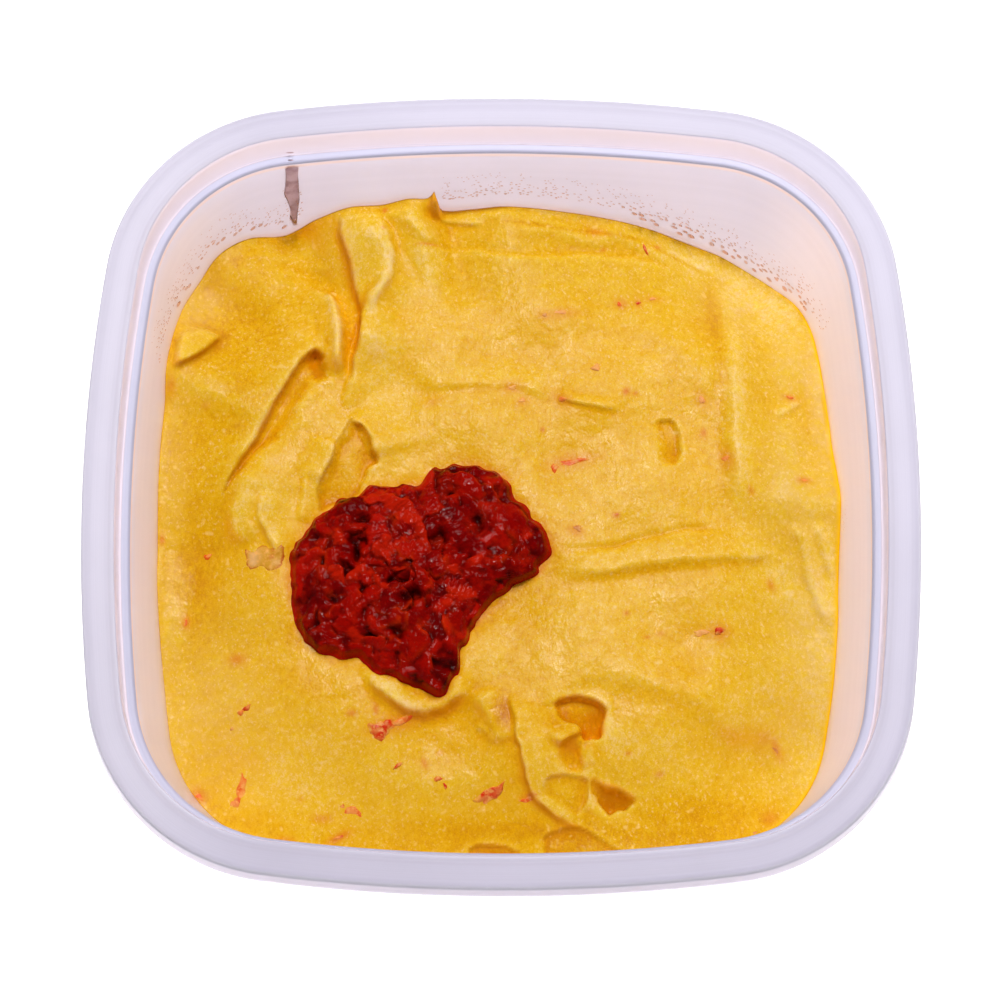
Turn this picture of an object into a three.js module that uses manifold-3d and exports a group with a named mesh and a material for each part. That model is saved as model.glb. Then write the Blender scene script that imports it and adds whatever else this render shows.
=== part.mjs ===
// Hummus with a spoonful of red pepper relish, in its open plastic tub.
// Millimetres, +Z up. The origin is the centre of the tub's base, X runs along one side.

import * as THREE from 'three';
import { mergeVertices } from 'three/addons/utils/BufferGeometryUtils.js';
import Module from 'manifold-3d';

const wasm = await Module();
wasm.setup();

// Tub: a rounded square whose four sides bow outward
const HALF_WIDTH = 58.3; // centre to the skirt of the rim
const HEIGHT = 44;
const CORNER_R = 28.1; // corner radius at the skirt
const SIDE_R = 253; // bow radius of each side at the skirt
const WALL = 0.8;
const DRAFT = THREE.MathUtils.degToRad(9);
const RIM_INSET = 0.3; // outer edge of the flat lip
const LIP_INSET = 5; // inner edge of the flat lip
const LEDGE_DROP = 5.5; // lip to the small ledge that the lid seats on
const LEDGE_INSET = 6.45; // inner edge of that ledge
const SKIRT_DROP = 3.4;
const FLOOR_Z = 1.8; // inside of the floor
const FOOT_LIFT = 0.8; // the base inside the foot ring is raised by this
const FLOOR_FILLET = 5;
const TUB_SIDES = 60;

// Hummus
const GAP = 0.3; // clearance between neighbouring solids
const HUMMUS_CELLS = 48; // top surface cells each way
const HUMMUS_LEVEL = 24.6;
// Height of its edge on the wall, every 5 degrees from +X towards +Y
const EDGE_LEVELS = [
  21.4, 22.5, 21.3, 19.9, 19.6, 19.1, 18.4, 17.3, 15.8, 13.4, 13.0, 15.0,
  17.4, 19.7, 21.3, 22.4, 23.2, 23.9, 24.2, 23.5, 23.4, 28.1, 25.6, 25.6,
  23.2, 20.0, 22.4, 23.3, 22.3, 23.7, 25.7, 26.5, 24.9, 24.9, 24.8, 24.4,
  23.8, 23.4, 23.5, 23.0, 22.3, 21.5, 20.9, 20.3, 19.5, 19.0, 19.0, 19.4,
  20.0, 20.4, 20.7, 20.7, 20.7, 20.7, 20.7, 20.7, 20.7, 20.7, 20.7, 20.4,
  19.8, 18.8, 17.6, 16.5, 16.1, 16.5, 18.0, 19.1, 19.6, 19.9, 19.7, 20.2,
];

// Relish: a spoonful that stands on the hummus
const RELISH_X = -12;
const RELISH_Y = -7.3;
const RELISH_EDGE = 1.3; // thickness at its rim
const RELISH_RISE = 3.9; // further thickness at the middle
const RELISH_SIDES = 36;
// Outline radii, every 10 degrees from +X towards +Y
const RELISH_RADII = [
  17.7, 19.5, 19.2, 18.1, 17.8, 18.6, 17.9, 16.8, 15.7, 12.8, 13.1, 13.2,
  14.0, 14.3, 15.7, 15.8, 16.6, 17.6, 18.4, 18.7, 19.1, 19.8, 19.4, 17.9,
  16.0, 16.5, 16.6, 18.3, 19.5, 17.0, 13.6, 12.5, 12.1, 12.2, 12.7, 13.6,
];
const CHUNKS = 32; // pieces of pepper on the spoonful
const SEED = 7;

// Ends of the straight-ish sides, from the centres of the side and corner circles
const SIDE_CENTRE = HALF_WIDTH - SIDE_R;
const CORNER_CENTRE = (SIDE_CENTRE
  + Math.sqrt(2 * (SIDE_R - CORNER_R) ** 2 - SIDE_CENTRE ** 2)) / 2;

// Distance from the axis to the outline that lies `inset` inside the skirt
function reach(angle, inset) {
  const a = Math.abs(Math.cos(angle));
  const b = Math.abs(Math.sin(angle));
  const across = Math.min(a, b);
  const along = Math.max(a, b);
  const side = along * SIDE_CENTRE
    + Math.sqrt((SIDE_R - inset) ** 2 - (SIDE_CENTRE * across) ** 2);
  const leans = side * across * (CORNER_CENTRE - SIDE_CENTRE);
  if (leans <= CORNER_CENTRE * (side * along - SIDE_CENTRE)) return side;
  const middle = CORNER_CENTRE * (across + along);
  return middle + Math.sqrt(middle ** 2 - 2 * CORNER_CENTRE ** 2 + (CORNER_R - inset) ** 2);
}

// Inset of the wall's inner face at a height
const wallInset = (z) => LEDGE_INSET + (HEIGHT - LEDGE_DROP - z) * Math.tan(DRAFT);

// Points of one level outline, closer together round the corners
function outline(inset, z, sides) {
  return Array.from({ length: sides }, (_, i) => {
    const even = (2 * Math.PI * i) / sides;
    const angle = even + 0.45 * Math.sin(4 * even) / 4;
    const r = reach(angle, inset);
    return new THREE.Vector3(r * Math.cos(angle), r * Math.sin(angle), z);
  });
}

// One closed body through rings that run up or out first and end down or in
function loft(rings) {
  const sides = rings[0].length;
  const middle = (ring) => ring.reduce((sum, p) => sum.add(p), new THREE.Vector3())
    .divideScalar(sides);
  const points = [...rings.flat(), middle(rings[0]), middle(rings.at(-1))];
  const top = rings.length * sides;
  const faces = [];
  for (let j = 0; j < sides; j += 1) {
    const k = (j + 1) % sides;
    faces.push(top, j, k, top + 1, top - sides + k, top - sides + j);
    for (let i = 0; i + 1 < rings.length; i += 1) {
      const a = i * sides;
      const b = a + sides;
      faces.push(a + j, b + k, a + k, a + j, b + j, b + k);
    }
  }
  return closedGeometry(points, faces);
}

function closedGeometry(points, faces) {
  const geometry = new THREE.BufferGeometry().setFromPoints(points);
  geometry.setIndex(faces);
  return geometry;
}

function toSolid(geometry) {
  const bare = geometry.clone();
  bare.deleteAttribute('normal');
  bare.deleteAttribute('uv');
  const merged = mergeVertices(bare, 1e-4);
  return new wasm.Manifold(new wasm.Mesh({
    numProp: 3,
    vertProperties: new Float32Array(merged.attributes.position.array),
    triVerts: new Uint32Array(merged.index.array),
  }));
}

function fuse(core, pieces) {
  const joined = pieces.reduce((solid, piece) => solid.add(toSolid(piece)), toSolid(core));
  const mesh = joined.getMesh();
  const geometry = new THREE.BufferGeometry();
  geometry.setAttribute('position', new THREE.BufferAttribute(mesh.vertProperties, 3));
  geometry.setIndex(new THREE.BufferAttribute(mesh.triVerts, 1));
  return geometry;
}

// Profile of the tub as [inset, z], from the inside of the floor, over the rim, to the base
function tubProfile() {
  const ledgeZ = HEIGHT - LEDGE_DROP;
  const filletTop = FLOOR_Z + FLOOR_FILLET;
  const foot = wallInset(0) - WALL;
  const profile = [];
  for (let step = 0; step <= 4; step += 1) {
    const turn = (step / 4) * (Math.PI / 2);
    profile.push([
      wallInset(filletTop) + FLOOR_FILLET * (1 - Math.sin(turn)),
      filletTop - FLOOR_FILLET * Math.cos(turn),
    ]);
  }
  profile.push(
    [wallInset(ledgeZ - 0.5), ledgeZ - 0.5], [LEDGE_INSET - 0.3, ledgeZ],
    [LIP_INSET + 0.3, ledgeZ], [LIP_INSET + 0.1, ledgeZ + 0.3],
    [LIP_INSET, HEIGHT - 0.5], [LIP_INSET - 0.4, HEIGHT],
    [RIM_INSET + 0.5, HEIGHT], [RIM_INSET, HEIGHT - 0.5],
    [0, HEIGHT - SKIRT_DROP], [WALL, HEIGHT - SKIRT_DROP],
    [RIM_INSET + WALL, HEIGHT - WALL - 0.3], [LIP_INSET - WALL - 0.3, HEIGHT - WALL - 0.1],
    [LIP_INSET - WALL, ledgeZ - WALL + 0.5], [LIP_INSET - WALL + 0.4, ledgeZ - WALL],
    [wallInset(ledgeZ - 1.4) - WALL, ledgeZ - 1.4],
    [wallInset(filletTop) - WALL, filletTop],
    [foot + 1.2, 2.2], [foot + 3.6, 0.3], [foot + 4.6, 0],
    [foot + 7, 0], [foot + 7.8, FOOT_LIFT],
  );
  return profile;
}

// Folds in the hummus: `line` runs along the crest, the face to its right drops away over
// STEEP, the face to its left falls over `gentle`
const STEEP = 1.7;
const FOLDS = [
  { rise: 2.4, gentle: 5, line: [[-49.1, 23.1], [-45.6, 24.3], [-43.1, 26.8], [-41.3, 30.1]] },
  { rise: 3.2, gentle: 6,
    line: [[-23.7, 49.7], [-23.1, 42.9], [-21.2, 37.7], [-20.2, 32.5], [-20.4, 27.8], [-22, 22.2]] },
  { rise: 1.1, gentle: 2.6,
    line: [[-19.8, 31.4], [-17.8, 35.1], [-16.4, 39.3], [-17, 43.4], [-20.1, 48.7]] },
  { rise: 2.1, gentle: 2.3,
    line: [[-23.6, 21.7], [-23.7, 25.2], [-24.2, 29.4], [-25.5, 34], [-28.1, 37.7]] },
  { rise: 1.9, gentle: 5,
    line: [[-41, 1.8], [-39, 7.9], [-36, 13], [-34, 17], [-31, 22.2], [-29, 25.2], [-27, 26.7],
      [-25, 25.2]] },
  { rise: 0.9, gentle: 4, line: [[-25.5, 20.2], [-29, 16.5], [-33, 11], [-37.5, 4.5]] },
  { rise: 1.3, gentle: 4, line: [[-22, 16.3], [-19.6, 14], [-18.3, 11.9], [-17.2, 8.9]] },
  { rise: 0.9, gentle: 3, line: [[-26.8, 5.3], [-25.2, 8.4], [-24, 11.9]] },
  { rise: 1.3, gentle: 4, line: [[-35.5, 8.9], [-37.3, 3.8], [-38.3, -0.7], [-37, -4.3]] },
  { rise: 1, gentle: 2.5, line: [[-34.3, 4.3], [-34.4, 0.8], [-33, -2.8], [-30.6, -6.6]] },
  { rise: 1.9, gentle: 3,
    line: [[-20, -21.4], [-16.5, -25.4], [-13, -27.8], [-9.5, -27.6], [-6.5, -25.9], [-3.5, -25.3]] },
  { rise: 1.4, gentle: 3, line: [[-4, -25.3], [-2.2, -27.8], [-0.5, -30.8], [0.6, -33.3]] },
  { rise: 1.6, gentle: 4,
    line: [[0.8, -25.5], [2.4, -28.3], [2.9, -32.3], [3.8, -36.7], [6, -40.5], [9.3, -43], [13, -43.7]] },
  { rise: 1.7, gentle: 5,
    line: [[-0.5, -24.7], [5, -24.4], [9, -23.6], [14, -22.6], [20, -22.8], [26.1, -24.9], [31.1, -27.8],
      [35.2, -31.4], [37.5, -35.7]] },
  { rise: 0.9, gentle: 1.8, line: [[5, -27.6], [8, -26.2], [11, -25.8], [14, -27.1], [15.6, -29.1]] },
  { rise: 1.3, gentle: 1.7, line: [[7.3, -33.5], [9, -32], [10.8, -30.7], [11.8, -29.7]] },
  { rise: 1.7, gentle: 3.3,
    line: [[6.5, -5.9], [12, -6.8], [18, -5.9], [25.1, -4.7], [32.2, -4], [38.2, -3.6], [40.8, -2.7]] },
  { rise: 1.3, gentle: 3,
    line: [[31.8, 41], [33.7, 35.6], [34.1, 27.3], [34.4, 17], [34.8, 7.8], [35.2, 0.6]] },
  { rise: 0.7, gentle: 2.2, line: [[42, 32.8], [42.4, 20.4], [42.3, 10.1], [41.8, 1.9]] },
  { rise: 0.9, gentle: 2, line: [[42.6, 1.9], [43.5, -3.2], [45.4, -9.7], [47.6, -14.7]] },
  { rise: 1.1, gentle: 2.6,
    line: [[-2, 44.7], [4.1, 46.2], [9.1, 45.7], [13.1, 45.2], [17.2, 45.6], [21.2, 44.6], [26.3, 42.9], [31.3, 41.6]] },
  { rise: 0.8, gentle: 4,
    line: [[29.3, 40.7], [24.2, 41.2], [18.2, 41.6], [12.1, 41.9], [6.1, 41.1], [0, 41.6], [-5, 42.6], [-15.5, 42.7]] },
  { rise: 1.1, gentle: 2.5, line: [[-19.6, 49], [-15, 46.9], [-12, 45], [-9.5, 43]] },
  { rise: 0.6, gentle: 4, line: [[-14, 21.4], [-8, 21.1], [0, 21.7], [4, 21], [8, 19.9]] },
];

// Round or oval places: `rise` above (or below) the surface round them, half sizes `a` and `b`,
// turned by `turn` degrees; `edge` 1 is a soft swell and 3 a hollow with steep sides
const PLACES = [
  { x: -34.1, y: 35.6, a: 11, b: 7, rise: -1.3, edge: 1 },
  { x: -26.9, y: 23.6, a: 2.2, b: 2.6, rise: -2.6, edge: 2 },
  { x: -22.1, y: 29.9, a: 1.6, b: 6, turn: -4, rise: -2, edge: 1 },
  { x: -33, y: 15, a: 1.9, b: 11, turn: -38, rise: -1.6, edge: 1.5 },
  { x: -21, y: 10.2, a: 3.5, b: 4.8, turn: -15, rise: -1.5, edge: 2 },
  { x: -44, y: -10.3, a: 4, b: 9, rise: -0.8, edge: 1 },
  { x: -7.5, y: -32.3, a: 7.5, b: 5, rise: -1.3, edge: 1.5 },
  { x: 11.5, y: -28.5, a: 4.2, b: 1.9, turn: -28, rise: -4.5, edge: 2 },
  { x: 13.2, y: -30.5, a: 1.7, b: 1.8, rise: -3, edge: 2 },
  { x: 16, y: -40.4, a: 3.2, b: 1.6, turn: -22, rise: -4.2, edge: 2 },
  { x: 9.8, y: -39.8, a: 3.2, b: 2.4, rise: -1, edge: 3 },
  { x: 11, y: -47.5, a: 5.2, b: 2.8, rise: -1.2, edge: 3 },
  { x: 36.5, y: -33.5, a: 1.6, b: 3.2, turn: 30, rise: -0.9, edge: 1 },
  { x: 24.1, y: 12.2, a: 1.8, b: 3.7, turn: 8, rise: -1, edge: 3 },
  { x: RELISH_X, y: RELISH_Y, a: 15, b: 13, rise: -1.4, edge: 1 },
];

// Flakes of pepper that lie in the surface: middle, length, width and turn in degrees
const FLAKES = [
  [-15.3, -30.2, 5.7, 1.7, 20], [-34, -6, 6, 3.2, -8], [-1.7, -39.5, 4, 1.3, 24],
  [31.1, -16.2, 1.9, 1.4, 0], [10.2, 9.5, 5.2, 1.2, 12], [-36, -27.9, 2.2, 1, 30],
  [-20.8, -42, 3, 1.1, -15], [-37.1, -38.9, 4, 1, 78], [-42.2, -5.2, 1.4, 1.1, 0],
  [-8.4, -38, 2, 1.1, -40], [21.6, 44, 2.5, 0.9, -65], [-14.3, -36.1, 1.7, 0.8, 42],
];
const FLAKE_RISE = 0.45;

for (const fold of FOLDS) {
  const knots = fold.line.map(([x, y]) => new THREE.Vector3(x, y, 0));
  fold.points = new THREE.CatmullRomCurve3(knots).getSpacedPoints(4 * (knots.length - 1));
}

// Height of a fold at a place, from the nearest point of its crest line
function foldHeight({ points, rise, gentle }, x, y) {
  let near = Infinity;
  let share = 0;
  let left = true;
  const last = points.length - 1;
  for (let i = 0; i < last; i += 1) {
    const [p, q] = [points[i], points[i + 1]];
    const [ex, ey, rx, ry] = [q.x - p.x, q.y - p.y, x - p.x, y - p.y];
    const t = THREE.MathUtils.clamp((rx * ex + ry * ey) / (ex * ex + ey * ey), 0, 1);
    const away = Math.hypot(rx - t * ex, ry - t * ey);
    if (away < near) {
      near = away;
      share = (i + t) / last;
      left = ex * ry - ey * rx > 0;
    }
  }
  const ends = THREE.MathUtils.smoothstep(Math.min(share, 1 - share), 0, 0.22);
  return rise * ends * Math.exp(-((near / (left ? gentle : STEEP)) ** 2));
}

function placeHeight({ x: px, y: py, a, b, turn = 0, rise, edge }, x, y) {
  const c = Math.cos(THREE.MathUtils.degToRad(turn));
  const s = Math.sin(THREE.MathUtils.degToRad(turn));
  const u = ((x - px) * c + (y - py) * s) / a;
  const v = ((y - py) * c - (x - px) * s) / b;
  return rise * Math.exp(-((u * u + v * v) ** edge));
}

// Radius of the relish's outline at an angle
function relishReach(angle) {
  const count = RELISH_RADII.length;
  const turn = ((angle / (2 * Math.PI)) % 1 + 1) % 1 * count;
  const i = Math.floor(turn);
  const blend = THREE.MathUtils.smoothstep(turn - i, 0, 1);
  return THREE.MathUtils.lerp(RELISH_RADII[i % count], RELISH_RADII[(i + 1) % count], blend);
}

// Height of the edge of the hummus on the wall
function edgeLevel(angle) {
  const count = EDGE_LEVELS.length;
  const turn = ((angle / (2 * Math.PI)) % 1 + 1) % 1 * count;
  const i = Math.floor(turn);
  return THREE.MathUtils.lerp(EDGE_LEVELS[i % count], EDGE_LEVELS[(i + 1) % count], turn - i);
}

// Height of the hummus above the base; under the relish it is smooth, and at the wall it
// comes to the level of its edge
function hummusTop(x, y) {
  const angle = Math.atan2(y, x);
  const share = Math.hypot(x, y) / reach(angle, wallInset(HUMMUS_LEVEL));
  const level = THREE.MathUtils.lerp(
    HUMMUS_LEVEL - 0.04 * x, edgeLevel(angle), THREE.MathUtils.smoothstep(share, 0.62, 1));
  const open = 1 - THREE.MathUtils.smoothstep(share, 0.95, 1);
  const swirls = 0.25 * Math.sin(0.31 * x + 0.17 * y) + 0.2 * Math.sin(0.11 * x - 0.37 * y + 1);
  const [rx, ry] = [x - RELISH_X, y - RELISH_Y];
  const cover = Math.hypot(rx, ry) / relishReach(Math.atan2(ry, rx));
  const bare = THREE.MathUtils.smoothstep(cover, 0.85, 1.08);
  const folds = FOLDS.reduce((sum, fold) => sum + foldHeight(fold, x, y), 0);
  const places = PLACES.reduce((sum, place) => sum + placeHeight(place, x, y), 0);
  return level + open * (places + bare * (folds + swirls));
}

// The hummus: a square grid stretched to the tub's outline, with sides along the wall
function hummusCore() {
  const cells = HUMMUS_CELLS;
  const edgeInset = (angle) => {
    const guess = reach(angle, wallInset(HUMMUS_LEVEL) + GAP);
    return wallInset(hummusTop(guess * Math.cos(angle), guess * Math.sin(angle))) + GAP;
  };
  const points = [];
  for (let j = 0; j <= cells; j += 1) {
    for (let i = 0; i <= cells; i += 1) {
      const [u, v] = [(2 * i) / cells - 1, (2 * j) / cells - 1];
      const angle = Math.atan2(v, u);
      const r = Math.max(Math.abs(u), Math.abs(v)) * reach(angle, edgeInset(angle));
      const [x, y] = [r * Math.cos(angle), r * Math.sin(angle)];
      points.push(new THREE.Vector3(x, y, hummusTop(x, y)));
    }
  }
  const faces = [];
  const at = (i, j) => j * (cells + 1) + i;
  for (let j = 0; j < cells; j += 1) {
    for (let i = 0; i < cells; i += 1) {
      faces.push(at(i, j), at(i + 1, j), at(i + 1, j + 1), at(i, j), at(i + 1, j + 1), at(i, j + 1));
    }
  }
  let ring = [];
  for (let i = 0; i < cells; i += 1) ring.push(at(i, 0));
  for (let j = 0; j < cells; j += 1) ring.push(at(cells, j));
  for (let i = cells; i > 0; i -= 1) ring.push(at(i, cells));
  for (let j = cells; j > 0; j -= 1) ring.push(at(0, j));
  const filletTop = FLOOR_Z + FLOOR_FILLET;
  const bottom = FLOOR_Z + GAP;
  const levels = [
    [wallInset(filletTop) + GAP, filletTop],
    [wallInset(filletTop) + GAP + 1.4, bottom + 1.4],
    [wallInset(filletTop) + GAP + FLOOR_FILLET, bottom],
  ];
  const angles = ring.map((index) => Math.atan2(points[index].y, points[index].x));
  for (const [inset, z] of levels) {
    const lower = angles.map((angle) => {
      const r = reach(angle, inset);
      return points.push(new THREE.Vector3(r * Math.cos(angle), r * Math.sin(angle), z)) - 1;
    });
    ring.forEach((a, i) => {
      const next = (i + 1) % ring.length;
      faces.push(a, lower[i], lower[next], a, lower[next], ring[next]);
    });
    ring = lower;
  }
  const middle = points.push(new THREE.Vector3(0, 0, bottom)) - 1;
  ring.forEach((a, i) => faces.push(middle, ring[(i + 1) % ring.length], a));
  return closedGeometry(points, faces);
}

function flake([x, y, length, width, turn]) {
  const piece = new THREE.SphereGeometry(1, 8, 4);
  piece.rotateX(Math.PI / 2);
  piece.scale(length / 2, width / 2, FLAKE_RISE);
  piece.rotateZ(THREE.MathUtils.degToRad(turn));
  return piece.translate(x, y, hummusTop(x, y) + 0.05);
}

// Thickness of the relish at a share of the way out to its outline
const relishThickness = (share) => RELISH_EDGE + RELISH_RISE * (1 - share ** 2) ** 0.8;

function relishRing(share, lift) {
  return Array.from({ length: RELISH_SIDES }, (_, i) => {
    const angle = (2 * Math.PI * i) / RELISH_SIDES;
    const r = share * relishReach(angle);
    const [x, y] = [RELISH_X + r * Math.cos(angle), RELISH_Y + r * Math.sin(angle)];
    return new THREE.Vector3(x, y, hummusTop(x, y) + GAP + lift);
  });
}

function relishCore() {
  const shares = [0.12, 0.3, 0.48, 0.66, 0.82, 0.94];
  return loft([
    ...shares.map((share) => relishRing(share, relishThickness(share))),
    relishRing(1, 0.55),
    relishRing(0.95, 0.1),
    ...[0.75, 0.5, 0.25].map((share) => relishRing(share, 0.1)),
  ]);
}

// A small seeded random sequence between 0 and 1
function randomFrom(seed) {
  let state = seed;
  return () => {
    state = (state * 1664525 + 1013904223) % 4294967296;
    return state / 4294967296;
  };
}

// Pieces of pepper, spread evenly over the spoonful by a sunflower rule
function chunks() {
  const random = randomFrom(SEED);
  return Array.from({ length: CHUNKS }, (_, i) => {
    const angle = i * 2.39996 + 0.3 * random();
    const share = 0.84 * Math.sqrt((i + 0.5) / CHUNKS);
    const r = share * relishReach(angle);
    const [x, y] = [RELISH_X + r * Math.cos(angle), RELISH_Y + r * Math.sin(angle)];
    const thickness = relishThickness(share);
    const size = 2 + 1.1 * random();
    const piece = new THREE.IcosahedronGeometry(1, 0);
    piece.rotateX(3 * random());
    piece.scale(size * (0.9 + 0.5 * random()), size * 0.8, Math.min(1.4, thickness - 0.5));
    piece.rotateZ(6.28 * random());
    return piece.translate(x, y, hummusTop(x, y) + GAP + thickness - 0.1);
  });
}

function named(name, geometry, look) {
  geometry.computeVertexNormals();
  const mesh = new THREE.Mesh(geometry, new THREE.MeshStandardMaterial(look));
  mesh.name = name;
  return mesh;
}

const tub = loft(tubProfile().map(([inset, z]) => outline(inset, z, TUB_SIDES)));
const hummus = fuse(hummusCore(), FLAKES.map(flake));
const relish = fuse(relishCore(), chunks());

const food = new THREE.Group();
food.add(
  named('tub', tub, { color: 0xe3ddea, roughness: 0.35, transparent: true, opacity: 0.6 }),
  named('hummus', hummus, { color: 0xf0b83a, roughness: 0.55 }),
  named('relish', relish, { color: 0xa01408, roughness: 0.2 }),
);

export default food;
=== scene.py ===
import math
from collections import namedtuple

import bpy
import numpy as np
from mathutils import Matrix, Vector


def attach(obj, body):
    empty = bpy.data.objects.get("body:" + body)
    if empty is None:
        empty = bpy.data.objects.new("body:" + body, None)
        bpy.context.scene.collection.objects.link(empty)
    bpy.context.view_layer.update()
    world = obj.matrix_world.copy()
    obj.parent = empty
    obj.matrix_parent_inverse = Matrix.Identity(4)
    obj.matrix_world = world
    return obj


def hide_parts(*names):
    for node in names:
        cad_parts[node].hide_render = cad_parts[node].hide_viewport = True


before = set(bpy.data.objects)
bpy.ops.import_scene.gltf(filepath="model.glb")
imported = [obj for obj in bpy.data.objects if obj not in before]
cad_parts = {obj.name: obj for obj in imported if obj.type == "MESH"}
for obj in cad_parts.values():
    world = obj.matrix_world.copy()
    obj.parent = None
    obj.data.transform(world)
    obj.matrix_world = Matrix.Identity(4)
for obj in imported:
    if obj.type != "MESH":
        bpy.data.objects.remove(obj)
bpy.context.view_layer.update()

# All lengths below are millimetres in the CAD frame; MM turns them into Blender's metres.
MM = 0.001

# Tub, with the same named sizes as the CAD solid
HALF_WIDTH = 58.3
HEIGHT = 44.0
CORNER_R = 28.1
SIDE_R = 253.0
WALL = 0.8
DRAFT = math.radians(9)
RIM_INSET = 0.3
LIP_INSET = 5.0
LEDGE_DROP = 5.5
LEDGE_INSET = 6.45
SKIRT_DROP = 3.4
FLOOR_Z = 1.8
FOOT_LIFT = 0.8
FLOOR_FILLET = 5.0
TUB_SIDES = 320

LEDGE_Z = HEIGHT - LEDGE_DROP
FILLET_TOP = FLOOR_Z + FLOOR_FILLET
SIDE_CENTRE = HALF_WIDTH - SIDE_R
CORNER_CENTRE = (SIDE_CENTRE + math.sqrt(2 * (SIDE_R - CORNER_R) ** 2 - SIDE_CENTRE ** 2)) / 2

# Hummus
HUMMUS_CELLS = 300
HUMMUS_LEVEL = 24.6
SIDEWAYS_SLOPE = 0.04  # it stands a little higher on the left
LEVEL_TO_EDGE = 0.62  # share of the way to the wall from which it follows the level of its edge
RELIEF_TO_EDGE = 0.965  # and from which its relief fades out
INTO_WALL = 0.12  # the food reaches this far into the wall, so that no air gap shows
# Height of its edge on the wall, every 5 degrees from +X towards +Y
EDGE_LEVELS = np.array([
    21.4, 22.5, 21.3, 19.9, 19.6, 19.1, 18.4, 17.3, 15.8, 13.4, 13.0, 15.0,
    17.4, 19.7, 21.3, 22.4, 23.2, 23.9, 24.2, 23.5, 23.3, 26.6, 25.6, 25.6,
    23.2, 20.0, 22.4, 23.3, 22.3, 23.7, 25.7, 26.5, 24.9, 24.9, 24.8, 24.4,
    23.8, 23.4, 23.5, 23.0, 22.3, 21.5, 20.9, 20.3, 19.5, 19.0, 19.0, 19.4,
    20.0, 20.4, 20.7, 20.7, 20.7, 20.7, 20.7, 20.7, 20.7, 20.7, 20.7, 20.4,
    19.8, 18.8, 17.6, 16.5, 16.1, 16.5, 18.0, 19.1, 19.6, 19.9, 19.7, 20.2,
])
# A pointed flick of hummus drawn up the back wall: its place and widths are in degrees
TIP_TURN, TIP_RISE, TIP_LEFT, TIP_RIGHT = 101.3, 4.6, 1.3, 0.8

# Relish
RELISH_X, RELISH_Y = -12.0, -7.3
RELISH_EDGE = 1.3
RELISH_RISE = 3.9
THINNEST, THICKEST = 0.3, 5.9
UNDER_HUMMUS = 0.1  # what lies on the hummus reaches this far into it
# Outline radii, every 10 degrees from +X towards +Y
RELISH_RADII = np.array([
    17.7, 19.5, 19.2, 18.1, 17.8, 18.6, 17.9, 16.8, 15.7, 12.8, 13.1, 13.2,
    14.0, 14.3, 15.7, 15.8, 16.6, 17.6, 18.2, 18.4, 18.7, 19.3, 18.9, 17.5,
    15.7, 16.3, 16.5, 18.2, 19.4, 16.8, 13.2, 12.0, 11.6, 11.7, 12.3, 13.3,
])


# ---------------------------------------------------------------- shape functions

def smoothstep(value, low, high):
    t = np.clip((value - low) / (high - low), 0, 1)
    return t * t * (3 - 2 * t)


def even_turns(count):
    return np.arange(count) * 2 * math.pi / count


def turned(x, y, angle):
    """The same place seen from axes that are turned by an angle."""
    return (x * math.cos(angle) + y * math.sin(angle), y * math.cos(angle) - x * math.sin(angle))


def reach(angle, inset):
    """Distance from the tub's axis to the outline that lies inset inside the skirt."""
    a, b = np.abs(np.cos(angle)), np.abs(np.sin(angle))
    across, along = np.minimum(a, b), np.maximum(a, b)
    side = along * SIDE_CENTRE + np.sqrt((SIDE_R - inset) ** 2 - (SIDE_CENTRE * across) ** 2)
    middle = CORNER_CENTRE * (across + along)
    corner = middle + np.sqrt(np.maximum(
        middle ** 2 - 2 * CORNER_CENTRE ** 2 + (CORNER_R - inset) ** 2, 0))
    leans = side * across * (CORNER_CENTRE - SIDE_CENTRE)
    on_side = leans <= CORNER_CENTRE * (side * along - SIDE_CENTRE)
    return np.where(on_side, side, corner)


def wall_inset(z):
    return LEDGE_INSET + (LEDGE_Z - z) * math.tan(DRAFT)


def outline_points(angle, inset, z):
    """Points at height z on the outline that lies inset inside the skirt."""
    r = reach(angle, inset)
    return np.stack([r * np.cos(angle), r * np.sin(angle), np.full_like(r, z)], -1)


def around(values, angle):
    """Numbers of the two values next to an angle, and how far it lies between them."""
    turn = (angle / (2 * math.pi)) % 1 * len(values)
    i = np.floor(turn).astype(int)
    return i % len(values), (i + 1) % len(values), turn - i


def spline(before, first, second, after, t):
    """Catmull-Rom curve from the first to the second value."""
    return 0.5 * (2 * first + (second - before) * t
                  + (2 * before - 5 * first + 4 * second - after) * t ** 2
                  + (3 * first - before - 3 * second + after) * t ** 3)


def edge_level(angle):
    """Height of the edge of the hummus on the wall, as a smooth line through its levels."""
    i, _, t = around(EDGE_LEVELS, angle)
    return spline(*(EDGE_LEVELS[(i + step) % len(EDGE_LEVELS)] for step in (-1, 0, 1, 2)), t)


def wall_tip(angle, share):
    """Height of the flick on the wall, long on its left and steep on its right."""
    off = np.degrees(angle) - TIP_TURN
    left, right = np.exp(-np.abs(off) / TIP_LEFT), np.clip(1 + off / TIP_RIGHT, 0, 1)
    return TIP_RISE * np.where(off > 0, left, right) * smoothstep(share, 0.955, 1.0)


def relish_reach(angle):
    first, second, between = around(RELISH_RADII, angle)
    between = smoothstep(between, 0, 1)
    return RELISH_RADII[first] * (1 - between) + RELISH_RADII[second] * between


def in_cells(grid, i, j, s, t):
    """Values of a grid, s and t of the way from its points i, j to the next ones."""
    rows, columns = grid.shape
    low = grid[i % rows, j % columns] * (1 - s) + grid[(i + 1) % rows, j % columns] * s
    high = (grid[i % rows, (j + 1) % columns] * (1 - s)
            + grid[(i + 1) % rows, (j + 1) % columns] * s)
    return low * (1 - t) + high * t


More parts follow.
